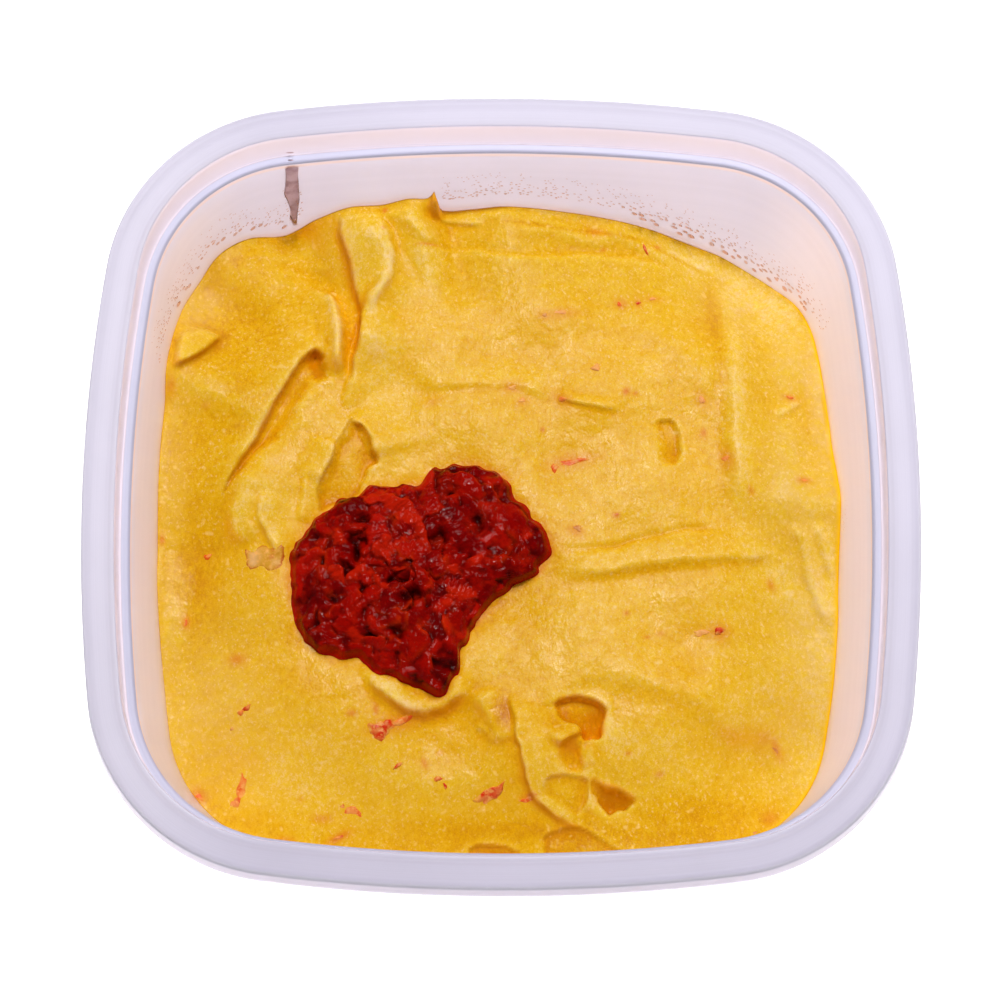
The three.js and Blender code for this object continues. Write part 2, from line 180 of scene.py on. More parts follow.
def noise(x, y, size, seed):
    """Smooth noise from -1 to 1 with features of about size millimetres."""
    grid = np.random.default_rng(seed).uniform(-1, 1, (256, 256))
    u, v = turned(x, y, 0.7 * seed + 0.4)
    u, v = u / size, v / size
    i, j = np.floor(u).astype(int), np.floor(v).astype(int)
    return in_cells(grid, i, j, smoothstep(u - i, 0, 1), smoothstep(v - j, 0, 1))


def curve_points(knots, per_span=6):
    """A smooth line through the knots."""
    knots = np.array(knots, float)
    p = np.vstack([2 * knots[0] - knots[1], knots, 2 * knots[-1] - knots[-2]])
    points = [spline(*p[i:i + 4], t)
              for i in range(len(p) - 3) for t in np.arange(per_span) / per_span]
    return np.array(points + [knots[-1]])


def past_segment(start, end, x, y):
    """Share of the way along a segment to its nearest point, and the offset from there."""
    ex, ey = end - start
    rx, ry = x - start[0], y - start[1]
    t = np.clip((rx * ex + ry * ey) / (ex * ex + ey * ey), 0, 1)
    return t, rx - t * ex, ry - t * ey


def along_line(points, x, y):
    """Distance to a line, the share of the way along it, whether left of it, and away from it."""
    near = np.full(x.shape, np.inf)
    share, left = np.zeros(x.shape), np.zeros(x.shape, bool)
    away_x, away_y = np.zeros(x.shape), np.zeros(x.shape)
    for i, (start, end) in enumerate(zip(points[:-1], points[1:])):
        t, dx, dy = past_segment(start, end, x, y)
        closer = np.hypot(dx, dy) < near
        near = np.where(closer, np.hypot(dx, dy), near)
        share = np.where(closer, (i + t) / (len(points) - 1), share)
        ex, ey = (end - start) / math.hypot(*(end - start))
        left = np.where(closer, ex * (y - start[1]) > ey * (x - start[0]), left)
        away_x, away_y = np.where(closer, ey, away_x), np.where(closer, -ex, away_y)
    return near, share, left, away_x, away_y


def inside_outline(outline, x, y):
    """Distance inside a closed outline, and the outward direction of its nearest side."""
    near = np.full(x.shape, np.inf)
    inside = np.zeros(x.shape, bool)
    off_x, off_y = np.zeros(x.shape), np.zeros(x.shape)
    for start, end in zip(outline[:-1], outline[1:]):
        _, dx, dy = past_segment(start, end, x, y)
        closer = np.hypot(dx, dy) < near
        near = np.where(closer, np.hypot(dx, dy), near)
        off_x, off_y = np.where(closer, dx, off_x), np.where(closer, dy, off_y)
        crosses = (start[1] > y) != (end[1] > y)
        run, climb = end - start
        inside ^= crosses & (x < start[0] + (y - start[1]) * run / (climb or 1))
    sign = np.where(inside, 1, -1)
    norm = -sign / np.maximum(near, 1e-6)
    return sign * near, off_x * norm, off_y * norm


def oval(x, y, px, py, a, b, turn=0, edge=1):
    """1 in the middle of an oval of half sizes a and b, fading to 0; a higher edge is steeper."""
    u, v = turned(x - px, y - py, math.radians(turn))
    return np.exp(-((u / a) ** 2 + (v / b) ** 2) ** edge)


# ---------------------------------------------------------------- relief of the hummus

Fold = namedtuple("Fold", "rise steep gentle lean crest")


def fold(rise, steep, gentle, lean, *knots):
    return Fold(rise, steep, gentle, lean, curve_points(knots))


# Folds as rise, steep, gentle, lean and points along the crest. The face to the right of the
# crest drops away over steep, the face to its left falls over gentle, and lean pushes the crest
# out over the steep face.
FOLDS = [
    fold(1.7, 0.7, 4, 0.5, (-49.1, 23.1), (-45.6, 24.3), (-43.1, 26.8), (-41.3, 30.1)),
    fold(1.5, 0.8, 5, 0.3, (-23.7, 49.7), (-23.1, 42.9), (-21.2, 37.7), (-20.2, 32.5), (-20.4, 27.8),
         (-22, 22.2)),
    fold(1, 0.8, 2.6, 0.2, (-19.8, 31.4), (-17.8, 35.1), (-16.4, 39.3), (-17, 43.4), (-20.1, 48.7)),
    fold(1.3, 1, 2.3, 0.2, (-23.6, 21.7), (-23.7, 25.2), (-24.2, 29.4), (-25.5, 34), (-28.1, 37.7)),
    fold(1, 0.7, 5, 0.3, (-41, 1.8), (-39, 7.9), (-36, 13), (-34, 17), (-31, 22.2), (-29, 25.2),
         (-27, 26.7), (-25, 25.2)),
    fold(0.5, 1.2, 4, 0, (-25.5, 20.2), (-29, 16.5), (-33, 11), (-37.5, 4.5)),
    fold(0.6, 0.7, 4, 0.2, (-22, 16.3), (-19.6, 14), (-18.3, 11.9), (-17.2, 8.9)),
    fold(0.5, 0.6, 3, 0.2, (-26.8, 5.3), (-25.2, 8.4), (-24, 11.9)),
    fold(0.9, 1.3, 4, 0, (-35.5, 8.9), (-37.3, 3.8), (-38.3, -0.7), (-37, -4.3)),
    fold(0.7, 0.6, 2.5, 0.2, (-34.3, 4.3), (-34.4, 0.8), (-33, -2.8), (-30.6, -6.6)),
    fold(1.5, 1, 3, 0.3, (-20, -21.4), (-16.5, -25.4), (-13, -27.8), (-9.5, -27.6), (-6.5, -25.9),
         (-3.5, -25.3)),
    fold(0.9, 1.1, 3, 0.1, (-4, -25.3), (-2.2, -27.8), (-0.5, -30.8), (0.6, -33.3)),
    fold(1, 0.7, 4, 0.3, (0.8, -25.5), (2.4, -28.3), (2.9, -32.3), (3.8, -36.7), (6, -40.5), (9.3, -43),
         (13, -44.6)),
    fold(0.9, 2.2, 5, 0, (-0.5, -24.7), (5, -24.4), (9, -23.6), (14, -22.6), (20, -22.8), (26.1, -24.9),
         (31.1, -27.8), (35.2, -31.4), (37.5, -35.7)),
    fold(0.5, 0.4, 1.6, 0.1, (5, -27.6), (8, -26.2), (11, -25.8), (14, -27.1), (15.6, -29.1)),
    fold(1.3, 0.6, 1.6, 0.3, (7.3, -33.5), (9, -32), (10.8, -30.7), (11.8, -29.7)),
    fold(0.85, 1.3, 3.8, 0.2, (6.5, -6.4), (12, -7.2), (18, -6.1), (25.1, -5.2), (32.2, -4.7),
         (37, -4.2), (40, -3.2)),
    fold(0.9, 1.8, 3, 0, (31.8, 41), (33.7, 35.6), (34.1, 27.3), (34.4, 17), (34.8, 7.8), (35.2, 0.6)),
    fold(0.5, 2, 2.2, 0, (42, 32.8), (42.4, 20.4), (42.3, 10.1), (41.8, 1.9)),
    fold(0.6, 0.9, 2, 0.1, (42.6, 1.9), (43.5, -3.2), (45.4, -9.7), (47.6, -14.7)),
    fold(0.7, 1.5, 2, 0, (-2, 44.7), (4.1, 46.2), (9.1, 45.7), (13.1, 45.2), (17.2, 45.6), (21.2, 44.6),
         (26.3, 42.9), (31.3, 41.6)),
    fold(0.5, 0.8, 4, 0.1, (29.3, 40.7), (24.2, 41.2), (18.2, 41.6), (12.1, 41.9), (6.1, 41.1),
         (0, 41.2), (-5, 42), (-15.5, 42.7)),
    fold(0.55, 1, 2.5, 0.1, (-19.6, 49), (-15, 46.9), (-12, 45), (-9.5, 43)),
    fold(0.3, 0.9, 4, 0, (-14, 21), (-8, 21.1), (0, 21.7), (4, 21), (8, 19.9)),
    fold(0.4, 1, 3, 0, (-37, 43), (-32, 42.4), (-26, 40.2), (-23.4, 37.6)),
]

# Finer creases and crests that only show close up
CREASES = [
    fold(0.5, 0.35, 1.2, 0.2, (8, 18.9), (10.4, 18.6), (12.1, 18.2), (14.6, 17.8), (17.7, 17.5)),
    fold(0.5, 0.4, 2, 0.2, (-11.3, 49.9), (-10, 47.9), (-6, 47), (-2, 46.8)),
    fold(-0.3, 0.5, 0.7, 0, (8, -4.8), (15, -3.6), (20.1, -2.2), (26.1, -0.9), (33.2, -0.4)),
    fold(0.45, 0.5, 1.2, 0.1, (40.4, 17.2), (42.4, 19), (44.2, 20.2)),
    fold(0.5, 0.5, 1.2, 0.2, (13.2, -37.4), (13, -40.1), (12.2, -42.1)),
    fold(0.4, 0.7, 2, 0.1, (-28.4, 7.9), (-28.2, 3.3), (-29.5, -0.3)),
    fold(0.4, 0.7, 2, 0.1, (45.4, 1), (46.4, -2.6), (48.7, -7.6)),
    fold(0.3, 0.35, 0.4, 0.1, (-3.5, -29.5), (-2, -31), (-0.8, -32.8)),
    fold(0.35, 0.3, 0.4, 0.1, (2, -29), (2.9, -33), (3.5, -36), (4.6, -39.3), (6.5, -41.7),
         (9.4, -43.3)),
    fold(0.4, 0.4, 0.5, 0.1, (-21, 15.5), (-19.6, 13.8), (-18.4, 12)),
    fold(0.8, 0.6, 3, 0.1, (-16.8, 39), (-17.5, 36.5), (-19.5, 32.5), (-20.2, 28), (-20.9, 24.5),
         (-21.9, 20), (-23, 16)),
    fold(0.7, 0.8, 0.8, 0, (-26, 36), (-25.2, 34), (-24.3, 30), (-23.8, 26), (-23.7, 21)),
    fold(0.4, 0.5, 0.5, 0, (11.8, -32.8), (11.6, -34.4), (11.9, -36.2)),
    fold(0.4, 0.5, 0.5, 0, (13, -32.8), (12.9, -34.4), (13, -36)),
]

# Round or oval swells and dips: place, half sizes, turn in degrees, edge, rise
PLACES = [
    (-34.1, 35.6, 11, 7, 0, 1, -1.3), (-44, -10.3, 4, 9, 0, 1, -0.8),
    (-7.5, -32.3, 7.5, 5, 0, 1.5, -1.3), (10.2, -34.8, 1.6, 2.0, 0, 2, -1.1),
    (36.5, -33.5, 1.6, 3.2, 30, 1, -0.4), (-45.6, 27.8, 3.6, 1.5, 42, 1, 0.7),
    (RELISH_X, RELISH_Y, 15, 13, 0, 1, -1.4),
]

# Hollows with a drawn outline. Inside, the surface lies depth lower, and deeper lower still round
# the deepest point, within about spread. The wall is edge wide, and ease wide on the side that
# faces open degrees. The tone deepens the colour inside, partly the hummus's own deeper colour and
# partly painted shade, and shade is the side where a brown line of painted shadow runs along the edge.
HOLLOWS = [
    dict(depth=1, deepest=(12.8, -31), deeper=2.6, spread=2.6, edge=0.5, ease=0.5,
         open=270, tone_and_shade=0.1, shade=125,
         line=[(7.3, -27), (8, -26.2), (10.2, -25.95), (12, -26.2), (13.6, -26.8), (14.8, -27.6),
               (15.2, -28), (14.7, -29.6), (14.6, -30.8), (14.2, -32.1), (13.2, -31.9), (12, -32.1),
               (11.4, -31.2), (10.7, -30), (9.1, -29.4), (8.2, -28.6)]),
    dict(depth=1, deepest=(15.3, -41.2), deeper=1.7, spread=2.2, edge=0.5, ease=0.5,
         open=270, tone_and_shade=0.18, shade=320,
         line=[(12.6, -38.2), (13.3, -37.5), (14.9, -38.7), (16.3, -38.8), (17.3, -39.3),
               (18.6, -39.9), (19.2, -40.5), (18.2, -41), (17.5, -41.9), (16.2, -41.8), (15.1, -42.3),
               (14.4, -41.6), (13.8, -40.2), (12.9, -39.8)]),
    dict(depth=0.5, deepest=(11, -38.8), deeper=0.3, spread=2, edge=0.5, ease=1,
         open=220, tone_and_shade=0.06, shade=115,
         line=[(6.5, -38.2), (7.5, -37.6), (9, -37.3), (10.5, -37.3), (12.2, -37.8), (12.6, -39),
               (12.6, -40.2), (12.3, -41.4), (11.8, -42), (10.8, -42.3), (9.3, -42), (7.8, -41.3),
               (6.7, -40.4), (6.2, -39.3)]),
    dict(depth=0.45, deepest=(10, -46.5), deeper=0.2, spread=3, edge=0.5, ease=0.8,
         open=270, tone_and_shade=0.1, shade=110,
         line=[(5.7, -49.5), (5.9, -45.8), (6.8, -44.9), (8, -44.3), (9.5, -44), (11, -44.2),
               (12.5, -44.8), (14, -45.3), (15.3, -46), (16.8, -47.3), (17.6, -49.5)]),
    dict(depth=0.5, deepest=(-1, -48.4), deeper=0.2, spread=2, edge=0.4, ease=0.8,
         open=270, tone_and_shade=0.15, shade=100,
         line=[(-4.8, -49), (-4.4, -47.2), (-3.4, -46.8), (-1.5, -46.7), (1, -46.8), (2.6, -47.3),
               (3.4, -49)]),
    dict(depth=0.8, deepest=(-27.4, 24.8), deeper=1.3, spread=1.5, edge=0.7, ease=2,
         open=320, tone_and_shade=0.14, shade=140,
         line=[(-28.6, 25), (-27.6, 26), (-26.6, 25.8), (-25.6, 24.8), (-24.8, 22.8), (-25, 21.5),
               (-27.2, 20.4), (-27.9, 18.9), (-29.2, 16.3), (-30.6, 13.6), (-32, 11.6), (-34, 11),
               (-36, 9), (-37.6, 6.6), (-40.2, 3.2), (-39.6, 5.6), (-38.2, 7.8), (-36.4, 11.2),
               (-35, 13.5), (-33.4, 16.8), (-32, 19.8), (-30.6, 22.4)]),
    dict(depth=0.8, deepest=(-18.6, 9.2), deeper=0.5, spread=2.2, edge=0.7, ease=1.6,
         open=100, tone_and_shade=0.16, shade=165,
         line=[(-24.2, 11.4), (-23, 12.8), (-22, 14.8), (-21.3, 15.6), (-20.3, 14.6), (-19.5, 13.2),
               (-18.4, 11.8), (-17.3, 9.6), (-17.2, 8.4), (-18.8, 7.5), (-19.6, 6), (-20.4, 4.2),
               (-22.5, 2.5), (-25.8, 1.5), (-26.4, 4.5), (-25.8, 6.2), (-25, 8.2)]),
    dict(depth=0.35, deepest=(-21.4, 29.5), deeper=0.35, spread=2, edge=1, ease=1.2,
         open=250, tone_and_shade=0, shade=40,
         line=[(-23.5, 22), (-22, 21.8), (-21.3, 22.8), (-20.8, 25), (-20.4, 27.5), (-20.2, 30),
               (-20.4, 33), (-21.2, 35.5), (-21.9, 34), (-21.5, 31.2), (-22.2, 28.6), (-23, 25.6)]),
    dict(depth=0.45, deepest=(25.4, 11), deeper=0.3, spread=1.6, edge=0.5, ease=1.2,
         open=200, tone_and_shade=0.12, shade=60,
         line=[(22, 15.7), (22.9, 16.1), (24.6, 16.1), (25.3, 15.5), (25.7, 14.4), (25.9, 12),
               (25.9, 10.4), (25.4, 9), (24.6, 8.4), (23.4, 8.6), (22.7, 9.6), (22.6, 12),
               (22.3, 14.4)]),
]
for hollow in HOLLOWS:
    hollow["outline"] = np.array(hollow["line"] + hollow["line"][:1])

FADES_OVER = 0.22  # share of a fold's length over which it fades out at each end
LEANS_OVER = 1.6  # width to the left of a crest that leans with it


def close_to(points, margin, x, y):
    """Which places lie in the box round some points, grown by a margin."""
    low_x, low_y = points.min(0) - margin
    high_x, high_y = points.max(0) + margin
    return (x > low_x) & (x < high_x) & (y > low_y) & (y < high_y)


def fold_shape(ridge, x, y):
    """Height of one fold, and how far its crest leans sideways in x and y."""
    close = close_to(ridge.crest, 2.2 * max(ridge.gentle, ridge.steep), x, y)
    shape = np.zeros((3, *x.shape))
    if close.any():
        near, share, left, away_x, away_y = along_line(ridge.crest, x[close], y[close])
        ends = smoothstep(np.minimum(share, 1 - share), 0, FADES_OVER)
        rise = ridge.rise * np.exp(-(near / np.where(left, ridge.gentle, ridge.steep)) ** 2)
        lean = ridge.lean * np.exp(-(near / np.where(left, LEANS_OVER, 0.8 * ridge.steep)) ** 2)
        shape[:, close] = ends * rise, ends * lean * away_x, ends * lean * away_y
    return shape


def hollow_shape(hollow, x, y):
    """Drop, colour tone with painted shade, and line of painted shadow along the edge of a hollow with
    a drawn outline.
    """
    close = close_to(hollow["outline"], 1, x, y)
    shape = np.zeros((3, *x.shape))
    if not close.any():
        return shape
    px, py = x[close], y[close]
    within, out_x, out_y = inside_outline(hollow["outline"], px, py)

    def facing(degrees):
        turn = math.radians(degrees)
        return np.clip(out_x * math.cos(turn) + out_y * math.sin(turn), 0, 1)

    wall = hollow["edge"] + (hollow["ease"] - hollow["edge"]) * facing(hollow["open"]) ** 0.5
    down = smoothstep((within + 0.12) / (wall + 0.12), 0, 1)
    pocket = oval(px, py, *hollow["deepest"], hollow["spread"], hollow["spread"])
    edge_shadow = smoothstep(within, -0.25, 0.05) * smoothstep(within, 0.5, 0.15)
    shape[:, close] = (down * (hollow["depth"] + hollow["deeper"] * pocket),
                       hollow["tone_and_shade"] * smoothstep(within, -0.15, 0.4) * (0.6 + 0.8 * pocket),
                       facing(hollow["shade"]) ** 2 * edge_shadow)
    return shape


def relish_cover(x, y):
    """Share of the way from the middle of the relish to its outline."""
    rx, ry = x - RELISH_X, y - RELISH_Y
    return np.hypot(rx, ry) / relish_reach(np.arctan2(ry, rx))


def wander(x, y, first_seed, coarse, fine):
    """Points shifted a little. coarse and fine are each a distance and a size of the noise."""
    return (x + coarse[0] * noise(x, y, coarse[1], first_seed)
            + fine[0] * noise(x, y, fine[1], first_seed + 1),
            y + coarse[0] * noise(x, y, coarse[1], first_seed + 2)
            + fine[0] * noise(x, y, fine[1], first_seed + 3))


def uneven(x, y):
    """Points shifted so that crest lines and the edges of hollows aren't too even."""
    return wander(x, y, 12, (0.35, 3.4), (0.16, 1.3))


def hummus_shape(x, y):
    """Height of the hummus above the base, and the sideways lean of its crests."""
    angle = np.arctan2(y, x)
    share = np.hypot(x, y) / reach(angle, wall_inset(HUMMUS_LEVEL))
    to_edge = smoothstep(share, LEVEL_TO_EDGE, 1)
    level = (HUMMUS_LEVEL - SIDEWAYS_SLOPE * x) * (1 - to_edge) + edge_level(angle) * to_edge
    waves = (0.25 * np.sin(0.31 * x + 0.17 * y) + 0.2 * np.sin(0.11 * x - 0.37 * y + 1)
             + 0.14 * noise(x, y, 6, 3) + 0.06 * noise(x, y, 2.6, 4))
    wx, wy = uneven(x, y)
    relief, lean_x, lean_y = sum(fold_shape(ridge, wx, wy) for ridge in FOLDS + CREASES)
    places = sum(rise * oval(wx, wy, *place) for *place, rise in PLACES)
    places = places - sum(hollow_shape(hollow, wx, wy)[0] for hollow in HOLLOWS)
    inside = 1 - smoothstep(share, RELIEF_TO_EDGE, 1)
    free = inside * smoothstep(relish_cover(x, y), 0.85, 1.08)
    height = level + wall_tip(angle, share) + inside * places + free * (waves + relief)
    return height, free * lean_x, free * lean_y


def hummus_top(x, y):
    return hummus_shape(np.asarray(x, float), np.asarray(y, float))[0]


# ---------------------------------------------------------------- mesh helpers

def mesh_piece(name, points, faces, smooth=True):
    mesh = bpy.data.meshes.new(name)
    mesh.from_pydata((np.asarray(points) * MM).tolist(), [], faces)
    mesh.update()
    if smooth:
        mesh.shade_smooth()
    piece = bpy.data.objects.new(name, mesh)
    bpy.context.scene.collection.objects.link(piece)
    return piece


class Bodies:
    """Points and faces of several closed bodies that make one piece."""

    def __init__(self):
        self.points, self.faces = [], []

    def add(self, points, faces):
        start = sum(map(len, self.points))
        self.points.append(points)
        self.faces += [tuple(start + i for i in face) for face in faces]

    def piece(self, name):
        return mesh_piece(name, np.vstack(self.points), self.faces)


def add_number(piece, name, values):
    layer = piece.data.attributes.new(name, "FLOAT", "POINT")
    layer.data.foreach_set("value", np.asarray(values, np.float32))


def add_colour(piece, name, values):
    layer = piece.data.color_attributes.new(name, "FLOAT_COLOR", "POINT")
    rgba = np.ones((len(values), 4), np.float32)
    rgba[:, :3] = values
    layer.data.foreach_set("color", rgba.ravel())


def linear(r, g, b):
    """Scene colour of a display colour given from 0 to 255."""
    return tuple(((c / 255 + 0.055) / 1.055) ** 2.4 if c > 10 else c / 255 / 12.92
                 for c in (r, g, b))


def blend(first, second, amount):
    """Mixes colours or arrays of colours by an array of amounts."""
    amount = np.asarray(amount)[..., None]
    return np.asarray(first) * (1 - amount) + np.asarray(second) * amount


def band_faces(rings, sides):
    """Faces between rings of points, ring by ring."""
    j, k = np.arange(sides), np.roll(np.arange(sides), -1)
    first = np.stack([j, j + sides, k + sides, k], 1)
    return np.vstack([first + i * sides for i in range(rings - 1)]).tolist()


def end_faces(rings, sides):
    """Faces from two middle points, which follow the rings' points, to the first and last ring."""
    j, k = np.arange(sides), np.roll(np.arange(sides), -1)
    middle, last = np.full(sides, rings * sides), (rings - 1) * sides
    return np.stack([middle, j, k, middle + 1, last + k, last + j], 1).reshape(-1, 3).tolist()


def loft_faces(rings, sides):
    """Faces of one closed body through rings."""
    return band_faces(rings, sides) + end_faces(rings, sides)


def dome_faces(rings, sides):
    """Faces of a closed dome: rings from the rim inwards, then its top, then a point below."""
    faces = [(a, d, c, b) for a, b, c, d in band_faces(rings, sides)]
    top, below, last = rings * sides, rings * sides + 1, (rings - 1) * sides
    for j in range(sides):
        k = (j + 1) % sides
        faces += [(last + j, last + k, top), (below, k, j)]
    return faces


# ---------------------------------------------------------------- material helpers

class Look:
    """A node material, built up by small calls."""

    def __init__(self, name, **values):
        self.material = bpy.data.materials.new(name)
        self.material.use_nodes = True
        self.tree = self.material.node_tree
        self.shader = self.tree.nodes["Principled BSDF"]
        for key, value in values.items():
            self.shader.inputs[key.replace("_", " ")].default_value = value

    def to(self, key, source):
        """Links a node's output to an input of the shader."""
        self.tree.links.new(source, self.shader.inputs[key])

    def node(self, kind, inputs, **settings):
        """Adds a node. Each input is another node's output, a number, a vector or a colour."""
        made = self.tree.nodes.new("ShaderNode" + kind)
        for key, value in settings.items():
            setattr(made, key, value)
        for key, value in inputs.items():
            socket = made.inputs[key]
            if isinstance(value, bpy.types.NodeSocket):
                self.tree.links.new(value, socket)
            else:
                socket.default_value = (*value, 1) if socket.type == "RGBA" else value
        return made.outputs

    def number(self, name):
        return self.node("Attribute", {}, attribute_name=name)["Fac"]

    def colour(self, name):
        return self.node("Attribute", {}, attribute_name=name)["Color"]

    def noise(self, scale, detail=4.0, roughness=0.55, stretch=None):
        place = self.node("TexCoord", {})["Object"]
        if stretch:
            place = self.node("Mapping", {"Vector": place, "Scale": stretch})["Vector"]
        return self.node("TexNoise", {"Vector": place, "Scale": scale, "Detail": detail,
                                      "Roughness": roughness})["Fac"]

    def ramp(self, source, *stops):
        """Maps a number to greys or colours, given as (position, grey or colour)."""
        made = self.tree.nodes.new("ShaderNodeValToRGB")
        elements = made.color_ramp.elements
        while len(elements) < len(stops):
            elements.new(0.5)
        for element, (position, colour) in zip(elements, stops):
            grey = isinstance(colour, (int, float))
            element.position = position
            element.color = (colour, colour, colour, 1) if grey else (*colour, 1)
        self.tree.links.new(source, made.inputs["Fac"])
        return made.outputs["Color"]

    def sum(self, first, second, share):
        """First number plus share times the second."""
        return self.node("Math", {0: second, 1: share, 2: first}, operation="MULTIPLY_ADD")["Value"]

    def mix(self, amount, first, second, mode="MIX"):
        return self.node("Mix", {0: amount, 6: first, 7: second}, data_type="RGBA",
                         blend_type=mode)[2]

    def times(self, first, second):
        return self.mix(1.0, first, second, "MULTIPLY")

    def tinted(self, base, source, *stops, tint):
        """The base colour mixed towards a tint, by a number put through a ramp."""
        return self.mix(self.ramp(source, *stops), base, linear(*tint))

    def bump(self, height, strength, distance, under=None):
        """Bump of a distance in millimetres, over another bump or the bare surface."""
        inputs = {"Height": height, "Strength": strength, "Distance": distance * MM}
        if under is not None:
            inputs["Normal"] = under
        return self.node("Bump", inputs)["Normal"]


# ---------------------------------------------------------------- camera, light, floor

# Camera, as fitted to the rim in the photo. Pixels are those of the photo's frame.
CAMERA_TILT = math.radians(70.69)
CAMERA_ROLL = math.radians(0.146)
CAMERA_DISTANCE = 451.2
SENSOR = 36.0
FRAME_PIXELS = 1000.0
FOCAL_PIXELS = 3260.9
RIM_CENTRE_PIXEL = (501.3, 476.6)

# Lamps, in metres
LIGHT_AIM = (0, 0, 0.03)
KEY_PLACE, KEY_SIZE, KEY_POWER = (0.07, 0.27, 0.61), 0.3, 2.55
SHEEN_PLACE, SHEEN_SIZE, SHEEN_POWER = (0.02, 0.21, 0.66), 0.03, 1.1


def make_camera():
    data = bpy.data.cameras.new("camera")
    data.sensor_width = SENSOR
    data.lens = FOCAL_PIXELS * SENSOR / FRAME_PIXELS
    data.shift_x = (FRAME_PIXELS / 2 - RIM_CENTRE_PIXEL[0]) / FRAME_PIXELS
    data.shift_y = (RIM_CENTRE_PIXEL[1] - FRAME_PIXELS / 2) / FRAME_PIXELS
    data.clip_start = 0.01
    camera = bpy.data.objects.new("camera", data)
    aim = Vector((0, 0, HEIGHT)) * MM
    back = Vector((0, -math.cos(CAMERA_TILT), math.sin(CAMERA_TILT)))
    turn = back.to_track_quat("Z", "Y").to_matrix().to_4x4()
    camera.matrix_world = (Matrix.Translation(aim + back * CAMERA_DISTANCE * MM) @ turn
                           @ Matrix.Rotation(CAMERA_ROLL, 4, "Z"))
    bpy.context.scene.collection.objects.link(camera)
    bpy.context.scene.camera = camera


def square_light(name, place, size, power):
    data = bpy.data.lights.new(name, "AREA")
    data.shape = "RECTANGLE"
    data.size, data.size_y = size, size
    data.energy = power
    lamp = bpy.data.objects.new(name, data)
    lamp.location = place
    lamp.rotation_euler = (Vector(place) - Vector(LIGHT_AIM)).to_track_quat("Z", "Y").to_euler()
    bpy.context.scene.collection.objects.link(lamp)


def make_light():
    world = bpy.data.worlds.new("studio")
    world.use_nodes = True
    background = world.node_tree.nodes["Background"]
    background.inputs["Color"].default_value = (1.0, 0.99, 1.0, 1)
    background.inputs["Strength"].default_value = 0.16
    bpy.context.scene.world = world
    square_light("key", KEY_PLACE, KEY_SIZE, KEY_POWER)
    square_light("sheen", SHEEN_PLACE, SHEEN_SIZE, SHEEN_POWER)


def make_floor():
    size = 3000.0
    corners = [(-size, -size, 0), (size, -size, 0), (size, size, 0), (-size, size, 0)]
    floor = mesh_piece("floor", corners, [(0, 1, 2, 3)], smooth=False)
    look = Look("floor", Roughness=0.9, Emission_Color=(1, 1, 1, 1), Emission_Strength=0.75)
    look.to("Base Color", look.ramp(look.noise(40.0), (0.3, (0.92, 0.92, 0.93)),
                                    (0.7, (0.95, 0.95, 0.96))))
    floor.data.materials.append(look.material)


# ---------------------------------------------------------------- tub

ZONE_COLOURS = {
    "wall": linear(226, 219, 234), "line": linear(246, 212, 196), "ledge": linear(193, 193, 217),
    "crease": linear(218, 202, 210), "step": linear(244, 226, 230), "lip": linear(212, 206, 226),
    "edge": linear(228, 224, 238), "skirt": linear(228, 222, 238),
}
# Painted glow on the side walls: the hummus's warm light, reflected and shining through, brighter on
# the right
LEFT_PAINTED_GLOW, RIGHT_PAINTED_GLOW = linear(240, 226, 229), linear(252, 238, 244)  # of the side walls
LIT_LIP = linear(232, 226, 242)
RIM_ZONES = ("ledge", "lip", "edge")
WALL_CLARITY, RIM_CLARITY = 0.75, 0.12
FOOT_WIDTH = 7.0  # of the flat ring that it stands on
BASE_BEND = 5.9
WALL_END_Z = LEDGE_Z - 1.4  # where the outside of the wall meets the skirt


def rim_profile():
    """Points over the rim as (zone, inset, z), each near a corner of the moulding."""
    outer = LIP_INSET - WALL
    skirt_end = HEIGHT - SKIRT_DROP
    corners = [
        ("line", wall_inset(LEDGE_Z - 0.9), LEDGE_Z - 0.9, [(0, 0)]),
        ("line", wall_inset(LEDGE_Z - 0.45), LEDGE_Z - 0.45, [(0, 0)]),
        ("ledge", wall_inset(LEDGE_Z - 0.3), LEDGE_Z - 0.3, [(0, 0)]),
        ("ledge", LEDGE_INSET, LEDGE_Z, [(-0.06, -0.14), (-0.2, -0.03), (-0.45, 0), (-0.7, 0.03)]),
        ("ledge", LIP_INSET, LEDGE_Z, [(0.35, 0)]),
        ("crease", LIP_INSET, LEDGE_Z, [(0.2, 0.05), (0.08, 0.2)]),
        ("step", LIP_INSET, LEDGE_Z, [(0.03, 0.5), (0.02, 2.5)]),
        ("step", LIP_INSET, HEIGHT, [(0, -1.4), (-0.02, -0.6), (-0.06, -0.15)]),
        ("lip", LIP_INSET, HEIGHT, [(-0.16, -0.03), (-0.3, 0), (-0.5, 0), (-2, 0), (-3.5, 0)]),
        ("lip", RIM_INSET, HEIGHT, [(0.5, 0)]),
        ("edge", RIM_INSET, HEIGHT, [(0.3, -0.02), (0.12, -0.12), (0.03, -0.3)]),
        ("skirt", 0, HEIGHT, [(RIM_INSET, -0.7), (0.18, -1.8)]),
        ("skirt", 0, skirt_end, [(0.05, 0.2), (0.06, 0.05), (0.2, 0)]),
        ("skirt", WALL, skirt_end, [(-0.15, 0), (0, 0.15)]),
        ("skirt", RIM_INSET + WALL, HEIGHT - WALL, [(-0.1, -0.8), (0.15, -0.25), (0.5, -0.1)]),
        ("skirt", outer, HEIGHT - WALL, [(-0.4, -0.1), (-0.08, -0.4), (0, -1.0)]),
        ("skirt", outer, LEDGE_Z - WALL, [(0, 0.5), (0.12, 0.12), (0.45, 0)]),
        ("skirt", wall_inset(WALL_END_Z) - WALL, LEDGE_Z - WALL, [(-0.15, -0.15)]),
    ]
    return [(zone, inset + across, z + up)
            for zone, inset, z, steps in corners for across, up in steps]


